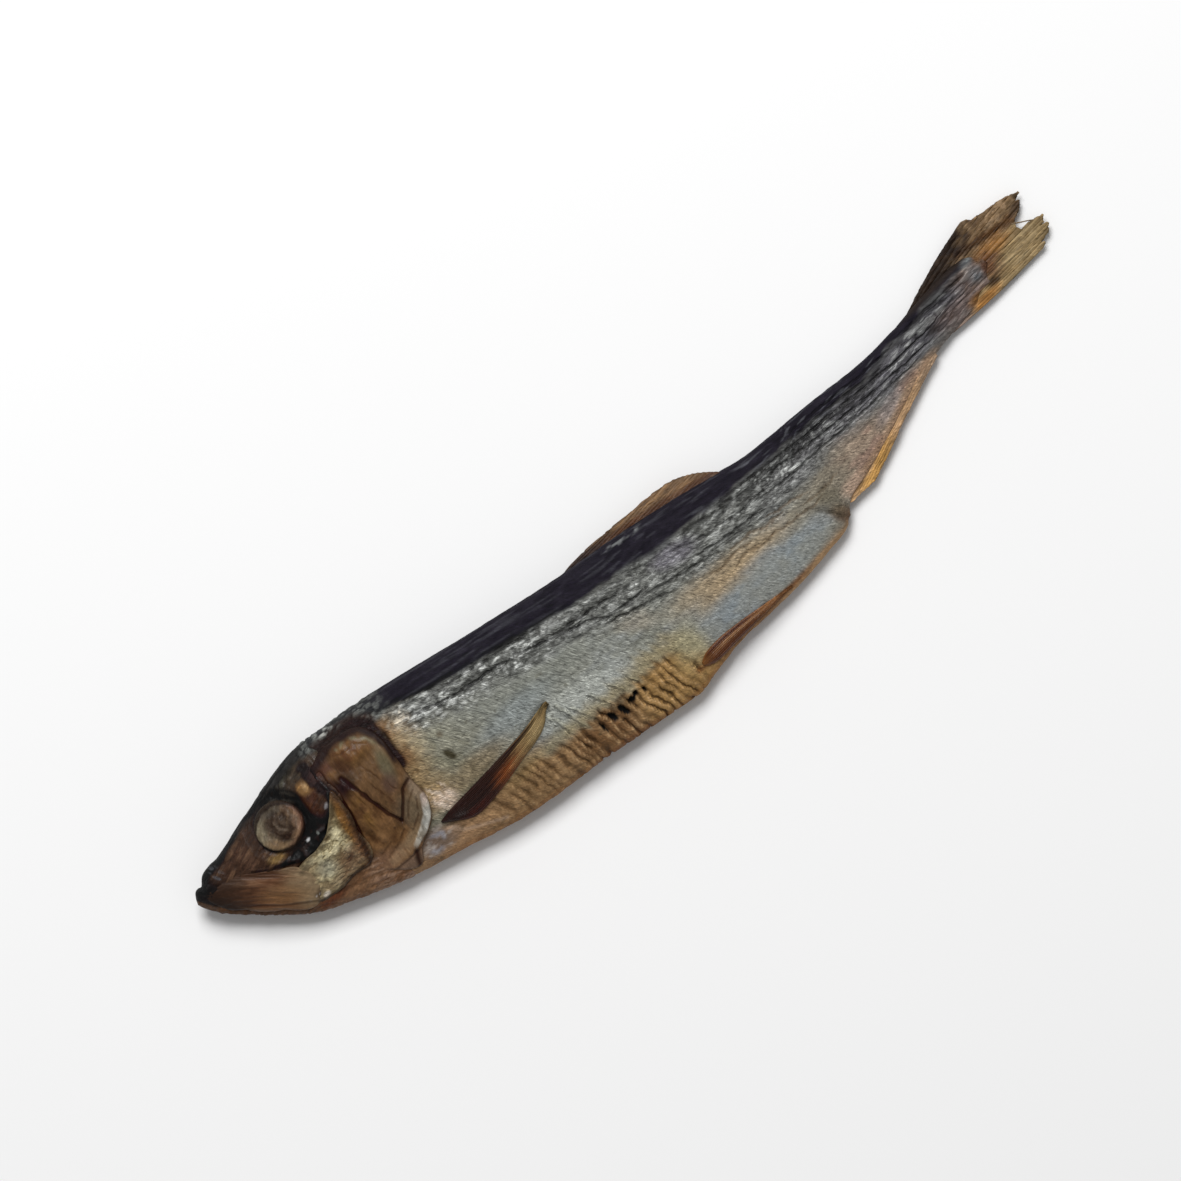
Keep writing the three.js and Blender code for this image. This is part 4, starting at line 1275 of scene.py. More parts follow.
def jaw_finish(x, y, z, side):
    """Curved streaks along the plate, darker towards the snout."""
    look = Finish(len(x), JAW_BROWN, 0.58, 0.0, wrinkle=0.16)
    look.shade(1 + 0.16 * cloudy(x / 1.6, y / 1.3, z / 2, seed=158))
    slope = 0.62 + 0.012 * (x - 12)
    across = y + slope * x + 0.3 * grain(x / 3, y / 3, z / 4, seed=149)
    fine = grain(x / 2.6, across / 0.5, z / 4, seed=150)
    broad = cloudy(x / 4, across / 2.0, z / 5, seed=152)
    look.shade(1 + 0.24 * broad + 0.2 * fine)
    look.wash(smooth(broad + 0.4 * fine, 0.15, 0.6) * 0.32, (132, 104, 80), gloss=0.64)
    look.wash(smooth(-broad - 0.5 * fine, 0.25, 0.7) * 0.35, (68, 47, 38))
    look.relief += 0.06 * fine + 0.12 * broad
    look.wash((1 - smooth(x + broad, 8, 12.5)) * 0.75, (66, 47, 37))
    look.wash((1 - smooth(to_line(x, y, JAW_OUTLINE[1:5]) + 0.8 * broad, 0.3, 2.6)) * 0.7, (64, 47, 38))
    rear = smooth(x - 0.25 * y + 1.2 * broad, 18.8, 23.4) * (1 - 0.6 * smooth(y, -9.4, -7.2))
    look.wash(rear * 0.85, (140, 122, 96), gloss=0.55, wrinkle=0.1)
    lumps = cloudy(x / 2.1, y / 1.6, z / 3, seed=160)
    look.shade(1 + 0.4 * lumps * smooth(x, 17, 22))
    look.relief += 0.2 * lumps * smooth(x, 17, 22)
    look.wash(patch(x, y, (16.4, -10.8), (5, 2.4), -34, 0.6) * 0.65, (130, 97, 66))
    look.wash(patch(x, y, (19.4, -8.8), (2.8, 1.4), -40, 0.6) * smooth(fine, -0.4, 0.4) * 0.5, (134, 104, 78))
    look.wash((1 - smooth(x + 0.3 * y, 3, 8.5)) * 0.8, (40, 35, 33))
    look.wash(patch(x, y, (8.8, -1.4), (3.6, 1.6), -30, 0.5) * 0.6, (48, 40, 36))
    rim = to_line(x, y, ((3, -2.8), (8, -8), (14, -12.9), (20.4, -16.9)))
    look.wash((1 - smooth(rim, 0.25, 0.7)) * smooth(x, 6, 10) * 0.5, (128, 100, 74))
    look.crease((1 - smooth(np.abs(rim - 0.95), 0.05, 0.5)) * smooth(x, 7, 12), 0.12, (56, 36, 28), 0.6)
    look.wash(smooth(x, 20.6, 22.6) * smooth(-y, 13.4, 15.6) * 0.85, (40, 26, 25))
    glints = smooth(cloudy(x / 0.9, y / 0.8, z / 2, seed=155), 0.15, 0.5)
    look.wash(patch(x, y, (21.3, -15.6), (1.3, 1.2), -30, 0.5) * glints * 0.85, (178, 170, 162), gloss=0.85)
    return look


jaw_skin = dried("jaw_skin", 1500, 0.5, along=(0.002, 0.0005, -36), across=(0.002, 0.0006, 30))
bone_plates("jaw", JAW_MIDDLE, JAW_OUTLINE, jaw_rise, jaw_finish, jaw_skin, JAW_LOWEST)


# ---- the cheeks ----
# One on each side, below the eye: a plate of bone that still has its lumpy golden silver skin, with an
# orange strip and a deep crease along the front of the gill cover.

CHEEK_OUTLINE = (
    (20.5, -16.6), (25, -17.4), (31, -16.9), (35.8, -17), (38, -10), (39.4, -4), (39.3, 0.8), (37.6, -0.6),
    (35.2, -3.4), (32, -6), (28, -7.3), (23.5, -7.6), (20, -9),
)
CHEEK_MIDDLE = (34, -12)
CHEEK_LOWEST = 0.1


def cheek_rise(x, y):
    """Higher towards the gill cover."""
    return through(((14, -0.3), (22, 0.25), (28, 0.6), (39, 1.2)), x)


def cheek_finish(x, y, z, side):
    """Lumpy golden silver, brown towards the edges, with painted highlights on its small ridges, painted
    shade in its crevices and along its lower and rear rims, and one painted glint.
    """
    look = Finish(len(x), (170, 158, 124), 0.62, 0.05, wrinkle=0.4, hatch=0.2)
    lumps = cloudy(x / 2.1, y / 1.6, z / 3, seed=160)
    small = folds(x / 1.3 + 0.4 * lumps, y / 0.9, z / 2, seed=163)
    look.shade(1 + 0.42 * lumps)
    golden = smooth(x + 0.4 * y, 19.4, 22.6)
    # Painted highlights on the small ridges, and painted shade in the crevices between them.
    look.wash(smooth(small, 0.45, 1) * smooth(lumps, -0.3, 0.3) * golden * 0.6, (214, 204, 168), gloss=0.75)
    look.wash((1 - smooth(small, 0, 0.4)) * (0.25 + 0.35 * golden), (86, 72, 46))
    look.wash(smooth(-lumps, 0.1, 0.5) * 0.4, (108, 86, 50))
    look.relief += 0.3 * lumps + 0.18 * (small - 0.5)
    look.wash(patch(x, y, (27.4, -12.0), (2.4, 1.8), -20, 0.6) * 0.5, (164, 164, 148), gloss=0.68)
    look.wash(patch(x, y, (27.5, -15.8), (4.0, 1.2), -4, 0.6) * 0.6, (128, 106, 84), silver=0.05)
    look.wash((1 - smooth(x - 0.25 * y + 1.6 * lumps, 26, 30.6)) * 0.85, (136, 119, 92), silver=0.05)
    look.wash(patch(x, y, (33.4, -13.8), (4.6, 3.0), 18, 0.6) * 0.85, (112, 87, 67), silver=0.0)
    look.wash(patch(x, y, (33, -13.4), (1.2, 0.5), 25, 0.6) * 0.7, (66, 42, 34))
    strip = patch(x + 0.3 * lumps, y, (37.2, -6.4), (6.4, 1.25), 80, 0.4)
    look.wash(strip * 0.92, (116, 80, 40), gloss=0.65, silver=0.0)
    look.wash(strip * smooth(lumps, 0, 0.4) * 0.4, (152, 108, 58))
    look.relief += 0.25 * strip
    look.wash(patch(x, y, (35.6, -7), (4.4, 0.5), 80, 0.6) * 0.5, (86, 62, 36), silver=0.0)
    look.wash(patch(x, y, (36.4, -12.4), (3.4, 0.8), 72, 0.6) * 0.6, (112, 84, 66), silver=0.0)
    look.wash((1 - smooth(to_line(x, y, CHEEK_OUTLINE[6:12]) + 0.5 * lumps, 0.3, 1.9)) * 0.7, (70, 58, 44))
    # A painted glint.
    look.wash(patch(x, y, (23.6, -16.4), (0.9, 0.6), 10, 0.5) * 0.8, (214, 204, 190), gloss=0.8)
    # Painted shade along the lower rim, and along the rear rim where the deep crease runs.
    lower_rim = to_line(x, y, CHEEK_OUTLINE[:4])
    look.wash((1 - smooth(lower_rim, 0.2, 0.9)) * 0.85, CREASE_SHADE, silver=0.0)
    rear_rim = to_line(x, y, CHEEK_OUTLINE[3:7])
    look.wash((1 - smooth(rear_rim, 0.7, 2.2)) * 0.6, (98, 68, 46), silver=0.0)
    look.wash((1 - smooth(rear_rim, 0.2, 1.3)) * 0.85, CREASE_SHADE, silver=0.0)
    return look


cheek_skin = dried("cheek_skin", 1700, 0.6, along=(0.0016, 0.0007, 20))
bone_plates("cheek", CHEEK_MIDDLE, CHEEK_OUTLINE, cheek_rise, cheek_finish, cheek_skin, CHEEK_LOWEST)


# ---- the gill covers ----
# One on each side: thin overlapping bones in brown skin, hinged at the front and free along the rear edge,
# where the slit under it is painted dark as shade and a strip of silver skin is left.

COVER_OUTLINE = (
    (38, 7), (47, 9), (52.7, 7.7), (54.7, 3.9), (54.8, -3), (54.4, -8.4), (54.6, -13), (52.6, -17.6),
    (46.8, -21.4), (43.7, -24.6), (38, -21.5), (31, -14), (33, -4),
)
COVER_MIDDLE = (44.5, -8)
COVER_LOWEST = 0.16
BONE_EDGE = ((42.6, 1.2), (43, -0.6), (43.9, -4), (44.8, -8), (45.6, -11.6), (46.8, -14.4))
LOWER_BONE_EDGE = ((46.8, -14.4), (49.4, -11.6), (51.6, -9), (53.8, -8.1))
FRONT_EDGE = ((39.2, 5), (39.4, 1), (39.3, -4), (38.1, -10), (36.2, -16), (35.2, -17.1), (31, -17))
# Fine creases in the skin over the bones.
COVER_LINES = (
    ((40.4, -1), (41, -6), (41.2, -11), (40.4, -15)),
    ((42.4, -3), (43.2, -8), (43.8, -12)),
    ((38.4, -17.4), (41.5, -16.6), (44.6, -14.6)),
    ((39.6, -18.8), (43, -17.8), (46, -16.2)),
    ((45.4, 1.4), (46.6, -4), (48.2, -9.6)),
    ((47.6, 1), (48.8, -3.6), (50.6, -8)),
    ((43.4, 6.6), (46, 5.2), (49, 5.4), (52, 3.6)),
    ((48.4, -14.8), (50.2, -12.4), (53, -10.6)),
    ((47.6, -17.4), (50.4, -15.6), (52.6, -12.6)),
)
LOWER_CREASE = ((36, -21.4), (40, -22), (44, -21.9), (46.5, -21.6))
CORNER_CREASE = ((44.8, -21.8), (44, -23.4), (43.4, -24.8))
PALE_RIM = ((45.8, 6.7), (48.4, 7.1), (50.6, 6.2), (52.4, 4.4), (53.2, 2.4))
SILVER_STRIP = ((45.6, -20.4), (49.2, -18.7), (52.1, -16.5), (54, -13.2))


def cover_rise(x, y):
    """Sunk at its hinge, below the skin behind the eye, and highest along its free edge."""
    hinge = (1 - smooth(x, 36.4, 38.8)) * smooth(y, -9, -6)
    return through(((24, -0.3), (38, 0.35), (46, 0.8), (56, 1)), x) - hinge


def front_bone(look, x, y, blots, fibres):
    """The front bone, golden in its middle and darkest at its top."""
    look.wash(patch(x, y, (41.6, -7), (4.8, 1.4), 85, 0.6) * smooth(blots, -0.5, 0.3) * 0.6, (108, 80, 42))
    look.wash(patch(x, y, (41.2, 5), (3.0, 2.4), 0, 0.6) * 0.75, (72, 46, 42))
    look.wash(patch(x + 0.6 * blots, y, (41.2, 3.2), (1.3, 1.0), 0, 0.7) * 0.65, (122, 92, 60))
    look.wash(patch(x + 0.5 * blots, y, (42.7, -0.3), (2.8, 2.4), 10, 0.6) * 0.95, (34, 25, 25))
    look.wash(patch(x, y, (39.8, 0.4), (1.6, 4.0), 0, 0.6) * 0.8, (38, 27, 27))
    look.wash(patch(x, y, (37.5, -19), (4.5, 2.4), -8, 0.6) * 0.6, (128, 98, 80))
    look.wash(patch(x, y, (43.5, -19.6), (5.5, 1.4), 8, 0.6) * smooth(fibres, -0.9, 0) * 0.7, (150, 124, 96))
    look.wash(smooth(-y, 21.2, 22.2) * 0.85, (122, 100, 84))
    look.crease(stroke(x, y, LOWER_CREASE, 0.9), 0.2, CREASE_SHADE, 0.55)
    look.crease(stroke(x, y, CORNER_CREASE, 2.4), 0.35, CREASE_SHADE, 0.95)


def rear_bone(look, x, y, z, wander, blots, fibres):
    """The large rear bone: a boss at its top with a pale rim, a green grey patch and a purple one."""
    rear = smooth(x - through(((-26, 47), (-14.4, 46.8), (-4, 43.9), (3, 42.4), (10, 42)), y), 0, 0.5)
    look.wash(rear * 0.45, (90, 72, 54))
    boss = patch(x, y, (48, 4.8), (4.4, 2.8), -8, 0.5)
    look.relief += 0.8 * boss + 0.3 * rear * smooth(-y, -6, 14)
    look.wash(boss * 0.8, (100, 72, 44), gloss=0.62)
    look.wash(boss * smooth(wander + blots, -0.1, 0.5) * 0.6, (80, 50, 38))
    look.wash(boss * smooth(fibres, 0.1, 0.6) * 0.3, (136, 104, 66), gloss=0.66)
    look.wash(patch(x, y, (44.6, 3.2), (1.6, 2.2), 20, 0.6) * 0.6, (58, 38, 34))
    bent = 0.3 * grain(x / 1.5, y / 1.5, z / 3, seed=174)
    pale_rim = stroke(x, y + bent, PALE_RIM, 1.7)
    look.wash(pale_rim * smooth(fibres + blots, -0.7, 0.2) * 0.7, (124, 120, 96), gloss=0.66)
    look.wash(patch(x, y, (52.0, -2.4), (4.0, 1.4), 78, 0.6) * 0.8, (98, 92, 72), gloss=0.6)
    look.wash(patch(x, y, (50.2, -6.2), (2.2, 1.7), 60, 0.6) * 0.7, (82, 64, 58))
    look.wash(patch(x, y, (50.4, -13.6), (3.6, 3.4), 50, 0.6) * 0.75, (112, 99, 80))
    look.wash(patch(x, y, (53.6, -10.6), (3.0, 1.2), 80, 0.6) * 0.75, (142, 124, 104))
    look.wash(patch(x, y, (46.8, -18.2), (2.4, 1.1), 24, 0.6) * 0.6, (138, 118, 92))
    look.wash(patch(x, y, (47.4, -8.6), (1.0, 4.0), 14, 0.6) * smooth(blots, -0.4, 0.4) * 0.5, (70, 48, 38))


def bone_creases(look, x, y, wavy):
    """The creases between the bones, with painted shade in and beside them, and the dark band that runs down
    behind the eye.
    """
    look.wash(stroke(x + wavy, y, BONE_EDGE, 3.2) * 0.35, (66, 43, 33))
    edge_wide = 1.25 + 0.8 * smooth(y, -6, 0)
    look.crease(smooth(stroke(x + wavy, y, BONE_EDGE, edge_wide), 0, 0.75), 0.3, CREASE_SHADE, 0.86)
    look.wash(stroke(x, y + wavy, LOWER_BONE_EDGE, 3.0) * 0.4, (66, 45, 36))
    look.crease(smooth(stroke(x, y + wavy, LOWER_BONE_EDGE, 1.2), 0, 0.8), 0.25, CREASE_SHADE, 0.8)
    look.wash(stroke(x + wavy, y, FRONT_EDGE, 3.8) * 0.45, (68, 44, 34))
    look.crease(smooth(stroke(x + wavy, y + wavy, FRONT_EDGE, 1.9), 0, 0.7), 0.4, CREASE_SHADE, 0.9)
    look.wash(dark_band(x, y) * smooth(y, -1, 0.5) * 0.92, (27, 24, 27), gloss=0.65)


def silver_strip(look, x, y, wavy, fibres, blots):
    """The strip of silver skin that is left on the lower rear edge."""
    silver = stroke(x + 0.5 * wavy, y + wavy, SILVER_STRIP, 1.6 + 1.0 * smooth(x, 45, 49.5))
    silver = smooth(silver, 0.05, 0.65) * smooth(x, 44.2, 47.4)
    look.wash(silver * 0.9, (158, 150, 136), gloss=0.75, silver=0.1, wrinkle=0.3, hatch=0.2)
    # A painted highlight in the middle of the silver.
    look.wash(silver * patch(x, y, (51.4, -17.4), (2.6, 1.5), 48, 0.5) * 0.6, (172, 174, 170), gloss=0.8)
    look.wash(silver * smooth(fibres + blots, 0, 0.5) * 0.5, (210, 206, 196))
    look.wash(silver * smooth(-fibres - blots, 0.1, 0.6) * 0.5, (118, 108, 94))
    look.wash(silver * smooth(y, -15.6, -13.6) * 0.6, (186, 162, 150))
    look.relief += 0.25 * silver


def cover_finish(x, y, z, side):
    """Creased bones, browns and greens, the silver strip, and a dark top edge with painted shade along the
    slit under the free edge.
    """
    wander = cloudy(x / 3, y / 4, z / 4, seed=170)
    blots = cloudy(x / 1.8, y / 2.4, z / 3, seed=171)
    fibres = grain(x / 0.8, (y + 0.25 * x) / 3, z / 3, seed=172)
    look = Finish(len(x), (112, 83, 56), 0.6, 0.0, wrinkle=0.2, hatch=0.16)
    fanned = np.arctan2(y + 26, x - 41) * 22
    strands = grain(fanned / 0.55, np.hypot(x - 41, y + 26) / 4.5, z / 3, seed=176)
    look.shade(1 + 0.32 * wander + 0.3 * blots + 0.08 * fibres + 0.13 * strands)
    look.wash(smooth(blots, 0.15, 0.6) * 0.4, (136, 104, 72), gloss=0.64)
    look.wash(smooth(-blots, 0.15, 0.6) * 0.45, (74, 50, 36))
    look.relief += 0.14 * blots + 0.16 * wander + 0.05 * fibres + 0.04 * strands
    front_bone(look, x, y, blots, fibres)
    rear_bone(look, x, y, z, wander, blots, fibres)
    for line in COVER_LINES:
        drawn = stroke(x + 0.4 * blots, y, line, 0.9)
        look.crease(drawn * smooth(blots + fibres, -0.6, 0.2), 0.1, (62, 41, 29), 0.55)
    wavy = 0.22 * grain(x / 1.6, y / 1.6, z / 3, seed=175)
    bone_creases(look, x, y, wavy)
    silver_strip(look, x, y, wavy, fibres, blots)
    # Dark along the top and the upper rear edge: there it meets the dark nape, and painted shade fills the
    # slit under the free edge.
    rim = to_line(x, y, COVER_OUTLINE[:5])
    dark = (1 - smooth(rim + 0.4 * wander, 0.6, 1.7 + 0.9 * smooth(y, 1, 6))) * smooth(y, -7, -2)
    look.wash(dark * 0.94, (35, 28, 29), gloss=0.45)
    look.wash((1 - smooth(to_line(x, y, COVER_OUTLINE[4:7]), 0.1, 0.5)) * 0.5, (70, 54, 44))
    return look


cover_skin = dried("cover_skin", 1500, 0.3, along=(0.003, 0.0006, 80), across=(0.0022, 0.0006, 20))
bone_plates(
    "gill_cover", COVER_MIDDLE, COVER_OUTLINE, cover_rise, cover_finish, cover_skin, COVER_LOWEST, 250, 150
)


# ---- the pectoral fins ----
# One on each side, behind the gill cover: a fan of stiff rays dried shut into a long blade that clings to the
# flank, nearly black at its root and amber at its tip.

# A fin that clings to the flank: where it starts and ends, its edges, its height over the skin, how much
# lower its edges lie than its middle, and the shares of its length between which its root rises.
PECTORAL = {
    "span": (53.2, 87.9),
    "upper": (
        (53, -20), (56, -19.3), (60, -18.8), (70, -17.6), (80, -16.1), (84.5, -14.9), (87, -14.3),
        (88, -14.6),
    ),
    "lower": (
        (53, -20.3), (55.5, -21.9), (60, -24), (67, -23.2), (76, -20.9), (82, -19.3), (84.6, -17.9),
        (86.4, -16.1), (88, -15),
    ),
    "height": ((52, 1.2), (62, 1.5), (88, 0.8)),
    "crown": 0.85,
    "rooted": (-0.08, 0.1),
}
PECTORAL_THICK = 0.5
PECTORAL_RAYS = 15
FIN_LOWEST = 0.1
RAY_BROWN = (50, 36, 33)
RAY_AMBER = (152, 129, 90)


def fin_blade(name, along, across, place, finish, material, thick, sunk, side=1):
    """A thin fin from a grid that runs from root to tip and from lower to upper edge. It is given its
    thickness below its outer face, or to both sides of it where it isn't sunk."""
    bm = bmesh.new()
    bmesh.ops.create_grid(bm, x_segments=along, y_segments=across, size=0.5)
    blade = mesh_of(bm, name)
    u, v = places_of(blade)[:, :2].T + 0.5
    base = place(u, v)
    move_points(blade, base)
    if side < 0:
        blade.flip_normals()
    look = finish(u, v, *base.T)
    raise_relief(blade, look.relief * smooth(u, 0.02, 0.15), FIN_LOWEST)
    keep_finish(blade, look)
    wall = show(blade, material).modifiers.new("thickness", "SOLIDIFY")
    wall.thickness = thick * MM
    wall.offset = -1 if sunk else 0


def clinging(fin, side):
    """Where the points of a fin that clings to the flank lie, by their share of its length and its width."""

    def place(u, v):
        root, tip = fin["span"]
        x = root + (tip - root) * u
        lower, upper = through(fin["lower"], x), through(fin["upper"], x)
        crowned = 1 - fin["crown"] * np.abs(2 * v - 1) ** 3
        rise = through(fin["height"], x) * crowned * smooth(u, *fin["rooted"])
        return on_flank(x, lower + (upper - lower) * v, rise, side)

    return place


def rays(u, v, count, seed):
    """Rounded rays side by side, a little uneven: 0 between two rays, 1 on top of one."""
    across = v * count + 0.35 * grain(v * count / 2.3, u * 2.2, 0, seed)
    return np.abs(np.sin(across * math.pi)) ** 0.8, np.floor(across)


def pectoral_finish(u, v, x, y, z):
    ridge, number = rays(u, v, PECTORAL_RAYS, 200)
    look = Finish(len(u), RAY_BROWN, 0.66, 0.0, wrinkle=0.4)
    tone = grain(number * 1.7, u * 2.5, z / 3, seed=202)
    amber = smooth(x - 3 * v + 2.5 * tone, 71, 80)
    glow = smooth(x + 1.5 * tone, 66, 72) * (1 - smooth(x, 76, 82)) * (1 - smooth(v, 0.35, 0.8))
    look.wash(glow * 0.85, (132, 74, 42))
    look.wash(amber * 0.92, RAY_AMBER, gloss=0.6)
    look.wash(patch(x, y, (60, -23.2), (7, 1.0), 2, 0.6) * 0.7, (76, 36, 28))
    look.wash(smooth(v, 0.68, 0.88) * (1 - smooth(x + 2 * tone, 80, 85)) * 0.8, (44, 31, 27))
    look.wash(smooth(x + tone, 83.6, 85.6) * smooth(v, 0.45, 0.75) * 0.75, (84, 78, 60))
    look.wash(smooth(x, 80, 82) * (1 - smooth(x, 83, 85)) * smooth(tone, 0, 0.4) * 0.5, (180, 158, 118))
    look.wash(patch(x, y, (82.6, -17.7), (2.8, 1.1), 20, 0.6) * 0.6, (176, 156, 114))
    look.wash((1 - smooth(ridge, 0.1, 0.7)) * 0.55, (38, 25, 20))
    look.wash(smooth(ridge, 0.8, 1) * smooth(tone, -0.1, 0.5) * 0.35 * smooth(x, 68, 78), (168, 132, 88))
    look.shade(1 + 0.24 * tone)
    look.relief += 0.22 * (ridge - 0.5) * (1 - np.abs(2 * v - 1) ** 4)
    return look


ray_skin = dried("ray_skin", 1800, 0.45, along=(0.005, 0.0005, 10), across=(0.002, 0.0006, -30))
for side, name in ((1, "pectoral_left"), (-1, "pectoral_right")):
    blade_place = clinging(PECTORAL, side)
    fin_blade(name, 130, 120, blade_place, pectoral_finish, ray_skin, PECTORAL_THICK, True, side)


# ---- the pelvic fins ----
# One on each side of the keel, halfway along the belly: short folded blades of red brown rays, dried on to
# the edge of the belly.

PELVIC = {
    "span": (119.6, 145.8),
    "upper": ((119, -30.2), (121.5, -28.7), (126, -28), (132, -28.1), (138, -28.6), (146, -29.4)),
    "lower": ((119, -30.6), (122, -31.7), (128, -31.3), (137, -30.4), (146, -29.5)),
    "height": ((119, 1.1), (128, 1.2), (136, 0.8), (146, 0)),
    "crown": 0.8,
    "rooted": (-0.1, 0.12),
}
PELVIC_THICK = 0.4
PELVIC_RAYS = 9


def pelvic_finish(u, v, x, y, z):
    ridge, number = rays(u, v, PELVIC_RAYS, 210)
    look = Finish(len(u), (116, 76, 49), 0.66, 0.0, wrinkle=0.35)
    tone = grain(number * 1.9, u * 3, z / 3, seed=212)
    look.shade(1 + 0.3 * tone)
    dark_fold = 1 - smooth(np.abs(3 * v - 2.455), 0.005, 0.555)
    pale_fold = 1 - smooth(np.abs(3 * v - 1.755), 0.005, 0.505)
    look.wash(dark_fold * (1 - smooth(u, 0.5, 0.7)) * 0.85, (60, 32, 22))
    look.wash(pale_fold * smooth(u, 0.1, 0.3) * 0.75, (166, 124, 86))
    look.wash((1 - smooth(v, 0.25, 0.5)) * 0.6, (84, 43, 27))
    look.wash((1 - smooth(ridge, 0.1, 0.6)) * 0.4, (48, 28, 22))
    look.wash((1 - smooth(u, 0, 0.1)) * 0.6, (126, 86, 50))
    look.wash(smooth(u + 0.1 * tone, 0.5, 0.8) * 0.8, (140, 98, 62))
    look.relief += 0.18 * (ridge - 0.5) * (1 - np.abs(2 * v - 1) ** 4)
    return look


for side, name in ((1, "pelvic_left"), (-1, "pelvic_right")):
    fin_blade(name, 90, 60, clinging(PELVIC, side), pelvic_finish, ray_skin, PELVIC_THICK, True, side)


# ---- the dorsal fin ----
# A single fin in the middle of the back. Its rays have folded down backwards, so only an amber brown strip
# of them stands over the dark edge of the back.

DORSAL_HEIGHT, DORSAL_DROOP = 7.1, 0.28
DORSAL_FRONT, DORSAL_REAR = 106.0, 149.5
DORSAL_THICK = 0.55
DORSAL_TOP = (
    (106, 3.6), (109, 4.9), (115, 5.6), (128, 5.8), (139, 5.5), (144.5, 3.6), (148.5, 0.9), (149.6, -0.2),
)
DORSAL_FOOT = ((106, 2), (128, 0.5), (149, -2.2))


def slanting_rays(x, y, slope, spacing, uneven, seed):
    """Rays that lie slanting on a low fin: their count at each place, and 0 between two, 1 on top of one."""
    count = (y - slope * x) / spacing
    return count, np.abs(np.sin((count + uneven * grain(x / 4, y / 1.5, 0, seed)) * math.pi)) ** 0.8


def dorsal_place(u, v):
    x = DORSAL_FRONT + (DORSAL_REAR - DORSAL_FRONT) * u
    foot, top = through(DORSAL_FOOT, x), through(DORSAL_TOP, x)
    y = foot + (top - foot) * v
    wave = 0.22 * grain(x / 7, v * 2, 0, seed=221)
    return np.column_stack((x, y, DORSAL_HEIGHT - DORSAL_DROOP * y + wave))


def dorsal_finish(u, v, x, y, z):
    slant, ridge = slanting_rays(x, y, 0.14, 0.62, 0.5, 223)
    tone = cloudy(x / 7, slant * 0.7, 0, seed=224)
    look = Finish(len(u), (108, 85, 63), 0.58, 0.0, wrinkle=0.4, hatch=0.3)
    look.shade(1 + 0.4 * tone)
    look.wash((1 - smooth(ridge, 0.1, 0.6)) * 0.45, (62, 44, 32))
    look.wash(smooth(tone, 0.1, 0.5) * 0.4, (146, 114, 80), gloss=0.66)
    base = smooth(through(BACK_LINE, x) + 1.5 - y, -0.3, 1.0)
    look.wash(base * 0.7, (62, 36, 28))
    look.wash((1 - smooth(x + 2 * tone, 114, 126)) * 0.88, (44, 38, 37))
    look.wash(smooth(v, 0.93, 1) * 0.5, (84, 64, 48))
    look.relief += 0.16 * (ridge - 0.5)
    return look


strip_skin = dried("strip_skin", 1800, 0.45, along=(0.005, 0.0005, -4), across=(0.002, 0.0006, -30))
fin_blade("dorsal_fin", 170, 40, dorsal_place, dorsal_finish, strip_skin, DORSAL_THICK, False)


# ---- the anal fin ----
# A low folded strip along the belly behind the vent. Its rays grow out of the edge of the belly and have
# dried together, orange where they are thickest.

ANAL_HEIGHT = 2.5
ANAL_THICK = 0.6
ANAL_FRONT, ANAL_REAR = 166.8, 203.0
ANAL_EDGE = (
    (166.5, -22.6), (167.8, -23.7), (170, -23.5), (174.5, -23.2), (177.5, -22.1), (186, -18.1), (196, -13.6),
    (204, -10.3),
)
ANAL_FOOT = ((166.5, -21.4), (172, -19), (185, -14.8), (203, -8.8))


def anal_place(u, v):
    x = ANAL_FRONT + (ANAL_REAR - ANAL_FRONT) * u
    foot, edge = through(ANAL_FOOT, x), through(ANAL_EDGE, x)
    wave = 0.2 * grain(x / 6, v * 2, 0, seed=231)
    return np.column_stack((x, edge + (foot - edge) * v, ANAL_HEIGHT + 0.5 * v + wave))


def anal_finish(u, v, x, y, z):
    slant, ridge = slanting_rays(x, y, 0.42, 0.5, 0.4, 233)
    tone = cloudy(x / 3.5, slant * 0.7, 0, seed=234)
    look = Finish(len(u), (184, 142, 84), 0.6, 0.0, wrinkle=0.4, hatch=0.2)
    look.wash(smooth(x, 179, 187) * 0.85, (168, 138, 108))
    look.wash(smooth(x, 192, 199) * 0.8, (142, 121, 102))
    look.wash((1 - smooth(x, 169, 174)) * 0.75, (172, 142, 112))
    look.wash(smooth(v, 0.25, 0.6) * (1 - smooth(x, 175, 180)) * 0.9, (184, 158, 132))
    look.wash(smooth(v, 0.45, 0.8) * smooth(x, 177, 184) * 0.6, (152, 118, 88))
    look.wash((1 - smooth(ridge, 0.1, 0.6)) * 0.35, (104, 70, 40))
    look.shade(1 + 0.34 * tone)
    look.relief += 0.15 * (ridge - 0.5)
    return look


fin_blade("anal_fin", 150, 36, anal_place, anal_finish, strip_skin, ANAL_THICK, False)


# ---- the tail fin ----
# Stiff rays that fan out from the end of the flesh. Both lobes are broken off in splinters, with a deep gap
# between them and one loose ray across it.

TAIL_HEIGHT = 1.9
TAIL_THICK = 0.6
TAIL_RAYS = 26
TAIL_ROOT = 202.0
TAIL_ROOT_LOWER, TAIL_ROOT_UPPER = -9.2, -0.2
